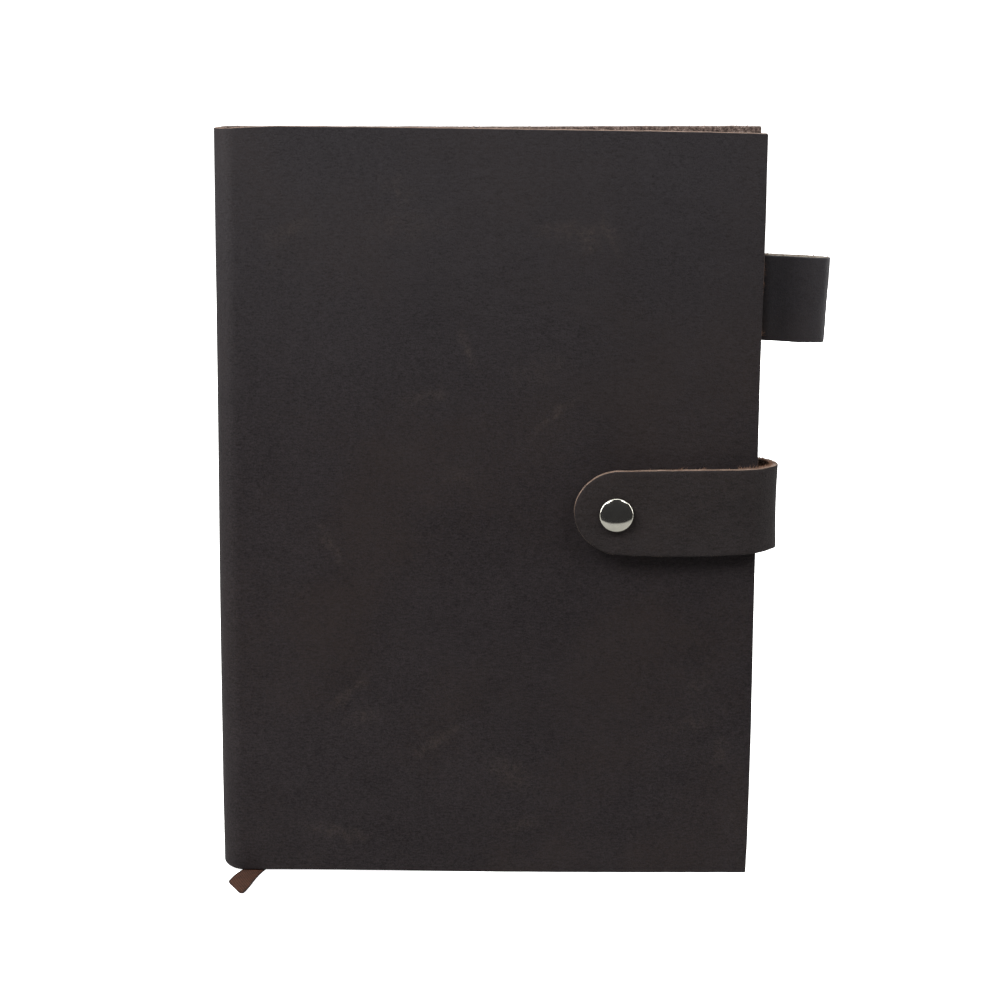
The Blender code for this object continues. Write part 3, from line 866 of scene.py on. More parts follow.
@dataclass
class Fibres:
    """Loose fibres along a cut edge: tapered three-sided strands that curl at random."""

    thickness: float = 0.00013
    rings: int = 4

    def build(
        self, name: str, roots: Array, out: Array, length: float, seed: int, material: Any
    ) -> bpy.types.Object:
        """Make one mesh of all the strands.

        A strand's middle line is root + out * l * t + curl * l * t^2 for t from 0 to 1, and
        its radius falls in a straight line to a point.

        Args:
            name: the piece's name.
            roots: where the strands start.
            out: the direction that each leans in.
            length: the longest strand.
            seed: picks the lengths and curls.
            material: the fibre's finish.

        Returns:
            The object.
        """
        rng = np.random.default_rng(seed)
        count = len(roots)
        reach = length * (0.25 + 0.75 * rng.random(count) ** 2)
        lean = out + rng.normal(scale=0.45, size=(count, 3))
        lean /= np.linalg.norm(lean, axis=1, keepdims=True)
        curl = rng.normal(scale=0.55, size=(count, 3))
        share = np.linspace(0.0, 1.0, self.rings + 1)[None, :, None]
        middle = roots[:, None] + reach[:, None, None] * (
            lean[:, None] * share + curl[:, None] * share**2
        )
        first = np.cross(lean, [0.31, 0.52, 0.79])
        first /= np.linalg.norm(first, axis=1, keepdims=True)
        second = np.cross(lean, first)
        turn = np.radians([0.0, 120.0, 240.0])
        around = np.cos(turn)[None, :, None] * first[:, None] + np.sin(turn)[None, :, None] * second[:, None]
        width = self.thickness / 2 * (1 - share[:, :-1] * 0.8)
        rings = middle[:, :-1, None] + width[..., None] * around[:, None]
        points = np.concatenate([rings.reshape(count, -1, 3), middle[:, -1:]], 1)
        size = 3 * self.rings + 1
        pattern = []
        for k in range(self.rings - 1):
            for a in range(3):
                b = (a + 1) % 3
                pattern.append([3 * k + a, 3 * k + b, 3 * k + 3 + b, 3 * k + 3 + a])
        last = 3 * (self.rings - 1)
        pattern += [[last + a, last + (a + 1) % 3, size - 1, size - 1] for a in range(3)]
        pattern.append([2, 1, 0, 0])
        faces = np.array(pattern)[None] + size * np.arange(count)[:, None, None]
        return make_object(name, points.reshape(-1, 3), faces.reshape(-1, 4), [material])


@dataclass
class Cover:
    """The folded sheet of hide round the notebook, made as a front and a back."""

    width: float = 0.1555
    height: float = 0.220
    depth: float = 0.017
    leather: float = 0.0021
    bulge: float = 0.0065
    corner: float = 0.00012
    flare: float = 0.0026
    seam_angle: float = 22.0
    edge_wave: float = 0.00028
    edge_stand: float = 0.00018
    edge_waves: tuple = ((0.139, 0.022, -0.55), (0.042, 0.021, 0.90), (0.001, 0.006, -0.95))
    spine_hollows: tuple = ((0.0, 0.016, 0.00022), (0.080, 0.035, -0.00013))
    swell: float = 0.00016
    raise_by: float = 0.00060
    spine_raise: float = 0.00050

    def track(self) -> Track:
        """The sheet's outer line, from the front fore-edge round the spine to the back's.

        It is straight, then half an ellipse, then straight again.
        """
        turn = arc((self.bulge, self.depth / 2), (self.bulge, self.depth / 2), 270, 90, 181)
        front = np.array([[self.width, 0.0]])
        back = np.array([[self.width, self.depth]])
        straight = np.linspace(front[0], turn[0], 60)[:-1]
        away = np.linspace(turn[-1], back[0], 60)[1:]
        return Track(np.concatenate([straight, turn, away]), Side.LEFT)

    def seam(self, track: Track) -> float:
        """How far along the sheet its two pieces meet, behind the spine's crest."""
        angle = math.radians(self.seam_angle)
        x = self.bulge * (1 - math.cos(angle))
        y = self.depth / 2 * (1 + math.sin(angle))
        return float(track.run[np.hypot(*(track.points - [x, y]).T).argmin()])

    def top_line(self, track: Track, distance: Array) -> Array:
        """The top edge's height, read at knots along the sheet and eased between them."""
        spine = self.width - self.bulge
        around = track.length - 2 * spine
        knots = np.array([
            0.0, 0.004, 0.026, 0.075, 0.112, 0.138, spine - 0.002,
            spine + around * 0.30, spine + around * 0.5, spine + around, spine + around + 0.031,
            spine + around + 0.075, spine + around + 0.117, track.length,
        ])
        level = np.array([
            219.84, 219.98, 220.28, 220.55, 220.78, 220.85, 220.50,
            219.75, 219.40, 219.0, 219.10, 219.35, 219.80, 220.0,
        ]) / 1000
        return np.interp(distance, knots, level)

    def bottom_line(self, distance: Array) -> Array:
        """The front's bottom edge rises towards the spine, where the ribbon runs out."""
        x = self.width - distance
        lift = self.raise_by * (1 - smoothstep(x, 0.010, 0.090))
        past = distance - (self.width - self.bulge)
        lift += self.spine_raise * smoothstep(past, 0.0, 0.010)
        return lift * (1 - smoothstep(past, 0.012, 0.024))

    def bend(self, track: Track) -> Callable[[Array, Array], Array]:
        """The function that bends this sheet, with the unevenness of a handled cover."""

        def shape(flat: Array, depth: Array) -> Array:
            """Bend flat points at their depths."""
            distance, up = flat[:, 0], flat[:, 1] / self.height
            plan = track.place(distance, depth)
            bottom = self.bottom_line(distance)
            z = bottom + up * (self.top_line(track, distance) - bottom)
            points = np.column_stack([plan, z])
            from_spine = np.clip((plan[:, 0] - self.bulge) / (self.width - self.bulge), 0.0, 1.0)
            is_front = plan[:, 1] < self.depth / 2
            lift = self.flare * from_spine**2 * np.clip(up, 0, 1) ** 3
            points[:, 1] -= np.where(is_front, lift, 0.15 * lift)
            swell = ripple(points * [1, 0, 1], 0.070, 4) * self.swell
            points[:, 1] += swell * smoothstep(plan[:, 0], 0.006, 0.030)
            rim = smoothstep(plan[:, 0], self.width - 0.010, self.width)
            stand = self.edge_wave * bumps(z, self.edge_waves) + self.edge_stand
            points[:, 0] += np.where(is_front, stand, 0.0) * rim
            hollow = bumps(z, self.spine_hollows)
            points[:, 0] += hollow * (1 - smoothstep(plan[:, 0], 0.0, 0.012))
            return points

        return shape

    def build(self, kit: Kit) -> None:
        """Make both halves and give them their folds."""
        track = self.track()
        seam = self.seam(track)
        sheet = CutSheet(self.leather, 0.00022)
        inset = sheet.rounding
        rows = spaced(inset, self.height - inset, 0.004, 0.0006)
        spine = self.width - self.bulge

        flat_columns = spaced(inset, spine, 0.004, 0.0006, "start")
        arc_columns = np.linspace(spine, seam, 26)[1:]
        columns = np.concatenate([flat_columns, arc_columns])
        outline = round_corners(
            self.corner, (inset, inset), (seam, self.height - inset), "start"
        )
        bend = self.bend(track)
        front = sheet.build(
            "cover_front", columns, rows, outline, bend, [kit.grain, kit.edge, kit.flesh], wobble=0.00004
        )
        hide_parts("front_panel")
        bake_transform(front)

        start = seam + 2 * inset + 0.00005
        arc_columns = np.linspace(start, track.length - spine, 18)[:-1]
        flat_columns = spaced(
            track.length - spine, track.length - inset, 0.004, 0.0006, "end"
        )
        columns = np.concatenate([arc_columns, flat_columns])
        outline = round_corners(
            self.corner, (start, inset), (track.length - inset, self.height - inset), "end"
        )
        back = sheet.build(
            "cover_back", columns, rows, outline, bend, [kit.grain, kit.rough_edge, kit.flesh],
            wobble=0.00008,
        )
        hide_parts("back_panel", "spine_panel")
        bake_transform(back)
        log.info("cover_front and cover_back: one sheet of hide, folded round the spine")

    def build_fluff(self, kit: Kit) -> None:
        """Loose fibres along the front's fore-edge and the back's top edge."""
        rng = np.random.default_rng(11)
        z = np.concatenate([rng.uniform(0.02, 0.216, 90), rng.normal(0.1815, 0.0009, 60)])
        z = np.concatenate([z, rng.normal(0.1625, 0.0008, 50), rng.normal(0.1770, 0.0006, 30)])
        z = np.clip(z, 0.003, 0.217)
        lift = self.flare * (z / self.height) ** 3
        roots = np.column_stack([
            np.full(len(z), self.width - 0.0001), rng.uniform(0.0008, 0.0019, len(z)) - lift, z
        ])
        out = np.tile([1.0, 0.1, 0.1], (len(z), 1))
        fringe = Fibres().build("front_edge_fibres", roots, out, 0.0010, 5, kit.fluff)
        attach(fringe, Body.FRONT.value)

        x = rng.uniform(0.030, 0.154, 420)
        level = np.interp(x, [0.007, 0.038, 0.081, 0.124, 0.1555], [0.2190, 0.2191, 0.21935, 0.2198, 0.22])
        roots = np.column_stack([x, rng.uniform(0.0150, 0.0164, len(x)), level - 0.0001])
        out = np.tile([0.0, -0.2, 1.0], (len(x), 1))
        nap = Fibres().build("back_edge_fibres", roots, out, 0.0008, 6, kit.fluff)
        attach(nap, Body.BACK.value)
        log.info("edge fibres: %d strands", len(z) + len(x))


@dataclass
class Lining:
    """The two inner bands, each sewn or stuck to its cover along three sides."""

    thickness: float = 0.0009
    rounding: float = 0.00025
    corner: float = 0.002
    step: float = 0.005
    buckle: float = 0.00004

    def build(self, kit: Kit) -> None:
        """Make both bands over their nodes."""
        places = (("front_sleeve", Body.FRONT, Side.LEFT), ("back_sleeve", Body.BACK, Side.RIGHT))
        for node, body, side in places:
            low, high = (np.array(corner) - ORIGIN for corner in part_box(node))
            face = high[1] if side is Side.LEFT else low[1]
            line = np.linspace([low[0], face], [high[0], face], 12)
            track = Track(line, side)
            sheet = CutSheet(self.thickness, self.rounding, 3)
            inset = self.rounding
            along = spaced(inset, track.length - inset, self.step, self.corner)
            across = spaced(low[2] + inset, high[2] - inset, self.step, self.corner)
            outline = round_corners(
                self.corner, (inset, low[2] + inset), (track.length - inset, high[2] - inset), "both"
            )

            def bend(flat: Array, depth: Array, track: Track = track) -> Array:
                """Lay the band flat, with a faint buckle."""
                plan = track.place(flat[:, 0], depth)
                points = np.column_stack([plan, flat[:, 1]])
                points[:, 1] += self.buckle * ripple(points * [1, 0, 1], 0.05, 9)
                return points

            band = sheet.build(
                node + "_band", along, across, outline, bend, [kit.flesh, kit.edge, kit.flesh]
            )
            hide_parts(node)
            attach(band, body.value)
            log.info("%s_band: inner band of suede", node)


@dataclass
class Stitching:
    """A row of saddle stitches along the back cover's fore-edge."""

    inset: float = 0.0045
    pitch: float = 0.0042
    length: float = 0.0032
    radius: float = 0.00034
    height: float = 0.220
    end_gap: float = 0.007
    sink: float = 0.0003
    lean: float = 0.00018
    tip: float = 0.0001
    rings: int = 7
    sides: int = 8

    def build(self, kit: Kit, depth: float, width: float) -> None:
        """Make every stitch in one mesh.

        Each stitch is a bowed capsule: its middle line sinks as the fourth power of the
        distance from its middle, and its radius is the root of one minus that distance
        to the fourth.

        Args:
            kit: the finishes.
            depth: y of the back cover's face.
            width: x of the fore-edge.
        """
        rings, sides = self.rings, self.sides
        count = int((self.height - 2 * self.end_gap) / self.pitch)
        share = np.linspace(-1.0, 1.0, rings)
        turn = np.linspace(0, 2 * math.pi, sides, endpoint=False)
        swell = self.radius * np.sqrt(np.clip(1 - share**4, 0.02, 1.0))
        sink = -self.sink * share**4
        ring_x = swell[:, None] * np.cos(turn)[None] + self.lean * share[:, None]
        ring_y = swell[:, None] * 0.75 * np.sin(turn)[None] + sink[:, None]
        ring_z = np.repeat(share * self.length / 2, sides).reshape(rings, sides)
        one = np.stack([ring_x, ring_y, ring_z], -1).reshape(-1, 3)
        top = np.array([self.lean, -self.sink, self.length / 2 + self.tip])
        one = np.concatenate([one, [top * [-1, 1, -1], top]])
        numbers = np.arange(rings * sides).reshape(rings, sides)
        south = np.full(sides, rings * sides)
        north = south + 1
        pattern = [ring_faces(a, b) for a, b in zip(numbers, numbers[1:])]
        low, high = numbers[0], numbers[-1]
        pattern.append(np.stack([np.roll(low, -1), low, south, south], -1))
        pattern.append(np.stack([high, np.roll(high, -1), north, north], -1))
        faces = np.concatenate(pattern)[None] + len(one) * np.arange(count)[:, None, None]
        z = self.end_gap + self.pitch * (np.arange(count) + 0.5)
        place = np.stack([np.full(count, width - self.inset), np.full(count, depth + 0.00004), z], -1)
        points = one[None] + place[:, None]
        row = make_object(
            "back_stitches", points.reshape(-1, 3), faces.reshape(-1, 4), [kit.thread]
        )
        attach(row, Body.BACK.value)
        log.info("back_stitches: %d stitches", count)


@dataclass
class Strap:
    """The strap: sewn inside the back, bent round the fore-edge, and over the front."""

    width: float = 0.0254
    thickness: float = 0.0020
    middle: float = 0.1108
    tip: float = 0.1028
    front: float = -0.0046
    back: float = 0.0148
    front_turn: float = 0.1510
    back_turn: float = 0.1555
    crest: float = 0.1620
    root: float = 0.1480
    climb: float = 0.018
    climb_from: float = 0.131
    sag: float = 1.7
    sag_from: float = 0.132
    snap_x: float = 0.1151
    dish: float = 0.00035
    dish_radius: float = 0.0065
    unevenness: float = 0.00010
    waist: float = 0.00030

    def track(self) -> Track:
        """The strap's outer line: straight, two quarter ellipses, straight."""
        middle_y = (self.front + self.back) / 2
        half = (self.back - self.front) / 2
        tail = np.linspace([self.tip, self.front], [self.front_turn, self.front], 30)
        near = arc((self.front_turn, middle_y), (self.crest - self.front_turn, half), -90, 0, 60)
        far = arc((self.back_turn, middle_y), (self.crest - self.back_turn, half), 0, 90, 60)
        base = np.linspace([self.back_turn, self.back], [self.root, self.back], 12)
        return Track(np.concatenate([tail, near[1:], far[1:], base[1:]]), Side.RIGHT)

    def edges(self, plan: Array) -> tuple[Array, Array]:
        """Heights of the strap's two edges over points in plan.

        The upper edge climbs in a straight line to the fore-edge; the lower one sags in
        between as a parabola. Both are level at the back.
        """
        front_share = smoothstep(self.back - plan[:, 1], 0.002, 0.016)
        x = np.minimum(plan[:, 0], 0.160)
        low = self.middle - self.width / 2
        high = self.middle + self.width / 2 + self.climb * (x - self.climb_from) * front_share
        return low + self.sag * (x - self.sag_from) ** 2 * front_share, high

    def bend(self, track: Track) -> Callable[[Array, Array], Array]:
        """The function that bends the strap.

        Its face dishes a little round the snap, and its middle draws in where it turns.
        """

        def shape(flat: Array, depth: Array) -> Array:
            """Bend flat points at their depths."""
            plan = track.place(flat[:, 0], depth)
            low, high = self.edges(plan)
            z = low + (flat[:, 1] / self.width + 0.5) * (high - low)
            points = np.column_stack([plan, z])
            from_snap = np.hypot(plan[:, 0] - self.snap_x, flat[:, 1])
            dish = bumps(from_snap, ((0.0, self.dish_radius, self.dish),))
            points[:, 1] += np.where(plan[:, 0] < 0.14, dish, 0.0)
            uneven = self.unevenness * ripple(points * [1, 0, 1], 0.022, 21)
            points[:, 1] += uneven * (plan[:, 0] < 0.155)
            waist = 1 - (2 * flat[:, 1] / self.width) ** 2
            turned = smoothstep(plan[:, 0], 0.154, 0.161)
            points[:, 0] -= self.waist * waist * turned
            return points

        return shape

    def outline(self, inset: float) -> Callable[[Array], Array]:
        """The tip is half a disc, as the square round it goes to a disc."""
        radius = self.width / 2 - inset

        def shape(flat: Array) -> Array:
            """Round the tip of these points."""
            result = flat.copy()
            a = np.clip((inset + radius - flat[..., 0]) / radius, 0.0, 1.0)
            b = np.clip(flat[..., 1] / radius, -1.0, 1.0)
            inside = a > 0
            x = inset + radius - radius * a * np.sqrt(1 - b * b / 2)
            y = radius * b * np.sqrt(1 - a * a / 2)
            result[..., 0] = np.where(inside, x, flat[..., 0])
            result[..., 1] = np.where(inside, y, flat[..., 1])
            return result

        return shape

    def build(self, kit: Kit) -> None:
        """Make both halves, which meet at the middle of the bend."""
        track = self.track()
        crest = float(track.run[track.points[:, 0].argmax()])
        sheet = CutSheet(self.thickness, 0.0003)
        inset = sheet.rounding
        half = self.width / 2 - inset
        across = np.linspace(-half, half, 27)
        materials = [kit.strap_grain, kit.edge, kit.flesh]
        bend = self.bend(track)

        along = np.concatenate([
            np.linspace(inset, self.width / 2, 14)[:-1],
            np.linspace(self.width / 2, 0.046, 20)[:-1],
            np.linspace(0.046, crest, 26),
        ])
        front = sheet.build(
            "strap_front", along, across, self.outline(inset), bend, materials, wobble=0.00006
        )
        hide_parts("strap_tail", "strap_wrap")
        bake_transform(front)

        start = crest + 2 * inset + 0.00003
        along = np.linspace(start, track.length - inset, 30)
        corners = round_corners(
            0.002, (start, -half), (track.length - inset, half), "end"
        )
        back = sheet.build("strap_back", along, across, corners, bend, materials, wobble=0.00006)
        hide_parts("strap_base")
        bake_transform(back)
        self.build_fluff(kit, track)
        log.info("strap_front and strap_back: one strap, bent round the fore-edge")

    def build_fluff(self, kit: Kit, track: Track) -> None:
        """Loose fibres on the flesh side and the top edge, thickest inside the bend."""
        rng = np.random.default_rng(31)
        tail = np.concatenate([rng.uniform(0.020, 0.045, 70), rng.normal(0.030, 0.0008, 24)])
        tail = np.concatenate([tail, rng.normal(0.0365, 0.0006, 18)])
        rows = (
            ("strap_tail_fibres", tail, Body.END, 0.0009),
            ("strap_bend_fibres", rng.uniform(0.047, track.length - 0.009, 420), Body.BEND, 0.0011),
        )
        for name, distance, body, length in rows:
            depth = rng.uniform(self.thickness * 0.5, self.thickness, len(distance))
            plan = track.place(distance, depth)
            _, high = self.edges(plan)
            roots = np.column_stack([plan, high - 0.0001])
            out = (np.array([0.1545, 0.0051, 0.0]) - roots) * [1, 1, 0]
            out /= np.linalg.norm(out, axis=1, keepdims=True)
            out[:, 2] = 0.9
            strands = Fibres().build(name, roots, out, length, 8, kit.fluff)
            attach(strands, body.value)


@dataclass
class PenLoop:
    """A strip folded on itself and pressed flat, sewn inside the back cover."""

    height: float = 0.0249
    thickness: float = 0.0014
    middle: float = 0.1713
    front: float = 0.0106
    back: float = 0.0148
    reach: float = 0.1761
    root: float = 0.1485
    droop: float = 0.0009
    fold: float = 0.0095

    def track(self) -> Track:
        """The strip's outer line: up to the front face, round the fold and back."""
        radius = (self.back - self.front) / 2
        turn_x = self.reach - self.fold
        middle_y = (self.front + self.back) / 2
        share = np.linspace(0.0, 1.0, 14)[:, None]
        climb = np.array([[0.1540, self.front + 0.0012]]) * (1 - share)
        climb = climb + np.array([[0.1585, self.front]]) * share
        climb[:, 1] = self.front + 0.0012 * (1 - smoothstep(share[:, 0], 0.0, 1.0))
        face = np.linspace([0.1585, self.front], [turn_x, self.front], 14)[1:]
        fold = arc((turn_x, middle_y), (self.fold, radius), -90, 90, 60)[1:]
        rear = np.linspace([turn_x, self.back], [self.root, self.back], 14)[1:]
        return Track(np.concatenate([climb, face, fold, rear]), Side.RIGHT)

    def build(self, kit: Kit) -> None:
        """Make the loop."""
        track = self.track()
        sheet = CutSheet(self.thickness, 0.00025)
        inset = sheet.rounding
        half = self.height / 2 - inset

        def bend(flat: Array, depth: Array) -> Array:
            """Fold the strip; its free end hangs and its lower corner is worn round."""
            plan = track.place(flat[:, 0], depth)
            share = np.clip((plan[:, 0] - 0.1555) / (self.reach - 0.1555), 0.0, 1.0)
            z = self.middle + flat[:, 1] - self.droop * share
            low = smoothstep(-flat[:, 1], half - 0.0009, half + 0.0002)
            tip = smoothstep(plan[:, 0], self.reach - 0.0014, self.reach)
            points = np.column_stack([plan, z])
            points[:, 0] -= 0.00008 * low * tip + 0.0010 * share * (0.5 - flat[:, 1] / self.height)
            points[:, 2] += 0.00008 * low * tip
            points[:, 1] += 0.00015 * ripple(points, 0.018, 41) * share
            return points

        along = np.concatenate([
            np.linspace(inset, 0.0110, 12)[:-1],
            np.linspace(0.0110, 0.0330, 64)[:-1],
            np.linspace(0.0330, track.length - inset, 14),
        ])
        across = np.linspace(-half, half, 41)
        loop = sheet.build(
            "pen_loop_strip", along, across, lambda flat: flat, bend,
            [kit.loop_grain, kit.loop_edge, kit.flesh], wobble=0.00005,
        )
        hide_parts("pen_loop")
        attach(loop, Body.BACK.value)

        rng = np.random.default_rng(51)
        distance = rng.uniform(0.001, track.length - 0.02, 200)
        plan = track.place(distance, rng.uniform(0.0, self.thickness, len(distance)))
        share = np.clip((plan[:, 0] - 0.1555) / 0.02, 0.0, 1.0)
        z = self.middle + self.height / 2 - 0.0001 - self.droop * share
        out = np.tile([0.0, -0.1, 1.0], (len(distance), 1))
        nap = Fibres().build(
            "loop_edge_fibres", np.column_stack([plan, z]), out, 0.0007, 9, kit.fluff
        )
        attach(nap, Body.BACK.value)
        log.info("pen_loop_strip: folded strip")


@dataclass
class Snap:
    """The snap fastener: a fine cap over the strap, and plain inner parts."""

    x: float = 0.1149
    z: float = 0.1106
    radius: float = 0.0051
    slope: float = 26.0
    shoulder: float = 0.0010
    lip: float = 0.0004
    foot: float = -0.0047
    shank: float = 0.0010
    shank_length: float = 0.0016
    sides: int = 72

    def build(self, kit: Kit) -> None:
        """Turn the cap: a low dome that rolls under at its rim, on a short shank."""
        slope = math.radians(self.slope)
        dome_angle = np.radians(np.linspace(1.0, self.slope, 22))
        roll_r = self.shoulder * (1 - math.sin(slope))
        sphere = (self.radius - roll_r) / math.sin(slope)
        dome_r = sphere * np.sin(dome_angle)
        fall = sphere * (1 - np.cos(dome_angle))
        upper = np.linspace(math.pi / 2 - slope, 0.0, 14)[1:]
        upper_r = self.radius - self.shoulder * (1 - np.cos(upper))
        upper_y = fall[-1] + self.shoulder * (math.cos(slope) - np.sin(upper))
        under = np.linspace(0.0, -math.pi / 2, 7)[1:]
        under_r = self.radius - self.lip * (1 - np.cos(under))
        under_y = upper_y[-1] - self.lip * np.sin(under)
        depth = under_y[-1]
        radius = np.concatenate([[0.0], dome_r, upper_r, under_r, [self.shank, self.shank, 0.0]])
        end = depth + self.shank_length
        drop = np.concatenate([[0.0], fall, upper_y, under_y, [depth, end, end]])
        top = self.foot - depth
        turn = np.linspace(0, 2 * math.pi, self.sides, endpoint=False)
        x = self.x + radius[1:-1, None] * np.cos(turn)
        z = self.z + radius[1:-1, None] * np.sin(turn)
        y = np.broadcast_to(top + drop[1:-1, None], x.shape)
        poles = [[self.x, top, self.z], [self.x, top + drop[-1], self.z]]
        points = np.concatenate([np.stack([x, y, z], -1).reshape(-1, 3), poles])
        rings = np.arange(x.size).reshape(x.shape)
        faces = [ring_faces(a, b) for a, b in zip(rings, rings[1:])]
        north = np.full(self.sides, x.size)
        south = north + 1
        faces.append(np.stack([np.roll(rings[0], -1), rings[0], north, north], -1))
        faces.append(np.stack([rings[-1], np.roll(rings[-1], -1), south, south], -1))
        cap = make_object("snap_dome", points, np.concatenate(faces), [kit.metal])
        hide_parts("snap_cap")
        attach(cap, Body.END.value)
        for node in ("snap_socket", "snap_stud", "snap_post"):
            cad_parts[node].material_slots[0].material = kit.metal
        log.info("snap_dome: cap; the socket, stud and post keep their model shapes")


@dataclass
class Ribbon:
    """The bookmark: from the book's head, down the first page and out on the table."""

    width: float = 0.0068
    thickness: float = 0.0003
    start_x: float = 0.0108
    head: float = 0.2136
    page: float = 0.004475
    foot_x: float = 0.00955
    head_bend: float = 0.0008
    foot_bend: float = 0.0030
    clearance: float = 0.00006
    arch: float = 0.0003
    table_rows: int = 35
    columns: int = 21
    cut_zone: float = 0.008
    sharp_corner: float = 0.0017
    blunt_corner: float = 0.0007
    left_end: tuple[float, float] = (0.0023, -0.0090)
    right_bends: tuple[tuple[float, float], ...] = (
        (0.0107, -0.0040), (0.0099, -0.0125), (0.0071, -0.0197)
    )

    def edges(self) -> tuple[Array, Array]:
        """The ribbon's left and right edges in the book's frame, row by row.

        They go over the head, down the page, round a bend and along the table. There the
        left edge is straight and the right one, which is longer, follows
        p0 (1 - t)^3 + 3 p1 t (1 - t)^2 + 3 p2 t^2 (1 - t) + p3 t^3.
        """
        floor = self.thickness / 2 + self.clearance
        bend, drop = self.head_bend, self.foot_bend
        over = np.array([[self.page + 0.0040, self.head], [self.page + 0.0022, self.head]])
        turn = arc((self.page + bend, self.head - bend), (bend, bend), 90, 180, 5)
        fall = np.linspace([self.page, self.head - bend], [self.page, floor + drop], 40)[1:]
        foot = arc((self.page - drop, floor + drop), (drop, drop), 0, -90, 10)[1:]
        profile = np.concatenate([over, turn, fall, foot])
        drift = np.linspace(0.0, 1.0, len(profile))[:, None] ** 3
        middle = self.start_x + (self.foot_x - self.start_x) * drift
        left = np.hstack([middle - self.width / 2, profile])
        right = np.hstack([middle + self.width / 2, profile])
        share = np.linspace(0.0, 1.0, self.table_rows + 1)[1:, None]
        height = floor + self.arch * np.sin(math.pi * share) ** 2
        straight = left[-1, :2] + (np.array(self.left_end) - left[-1, :2]) * share
        first, second, end = (np.array(point) for point in self.right_bends)
        away = 1 - share
        curve = right[-1, :2] * away**3 + 3 * first * share * away**2
        curve += 3 * second * share**2 * away + end * share**3
        left = np.concatenate([left, np.hstack([straight, height])])
        right = np.concatenate([right, np.hstack([curve, height])])
        return left, right

    def build(self, kit: Kit) -> None:
        """Rule the ribbon's flat section between its two edges and give it its thickness.

        A row of the grid is left + (right - left) * (w + 1) / 2 + normal * h, and the last
        rows draw back at both sides to round the corners of the cut end.
        """
        left, right = self.edges()
        route = (left + right) / 2
        along = np.gradient(route, axis=0)
        along /= np.linalg.norm(along, axis=1, keepdims=True)
        normal = np.cross(along, right - left)
        normal /= np.linalg.norm(normal, axis=1, keepdims=True)
        share = np.linspace(-1.0, 1.0, self.columns)
        thick = self.thickness / 2
        run = np.concatenate([[0.0], np.cumsum(np.linalg.norm(np.diff(route, axis=0), axis=1))])
        near_end = smoothstep(run, run[-1] - self.cut_zone, run[-1])
        sharp = self.sharp_corner * np.abs(share) ** 7
        blunt = self.blunt_corner * np.abs(share) ** 9
        corner = np.where(share > 0, sharp, blunt)
        flat = left[:, None] + (right - left)[:, None] * (share[None, :, None] + 1) / 2
        flat = flat - along[:, None] * (corner[None] * near_end[:, None])[..., None]
        edge = thick * (1 - 0.6 * np.abs(share) ** 8)
        top = flat - normal[:, None] * edge[None, :, None]
        low = flat + normal[:, None] * edge[None, :, None]
        section = np.concatenate([top, low[:, ::-1]], 1)
        count, size = section.shape[:2]
        numbers = np.arange(count * size).reshape(count, size)
        faces = [ring_faces(a, b) for a, b in zip(numbers, numbers[1:])]
        for ring in (numbers[0], numbers[-1]):
            left, right = ring[: size // 2], ring[size // 2:][::-1]
            cap = np.stack([left[:-1], left[1:], right[1:], right[:-1]], -1)
            faces.append(cap[:, ::-1] if ring[0] else cap)
        side = np.concatenate([share, share[::-1]]) * self.width / 2
        on_table = self.page - self.foot_bend - section[..., 1]
        foot_run = run[-self.table_rows - 1]
        length = np.where(run[:, None] > foot_run, foot_run + on_table, run[:, None])
        chart = np.stack([length.ravel(), np.tile(side, count)], -1)
        ribbon = make_object(
            "ribbon_strip", section.reshape(-1, 3), np.concatenate(faces), [kit.ribbon], flat=chart
        )
        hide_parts("ribbon_bookmark")
        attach(ribbon, Body.BACK.value)
        world = route + ORIGIN
        log.info("ribbon_strip: %.0f mm long", run[-1] * 1000)


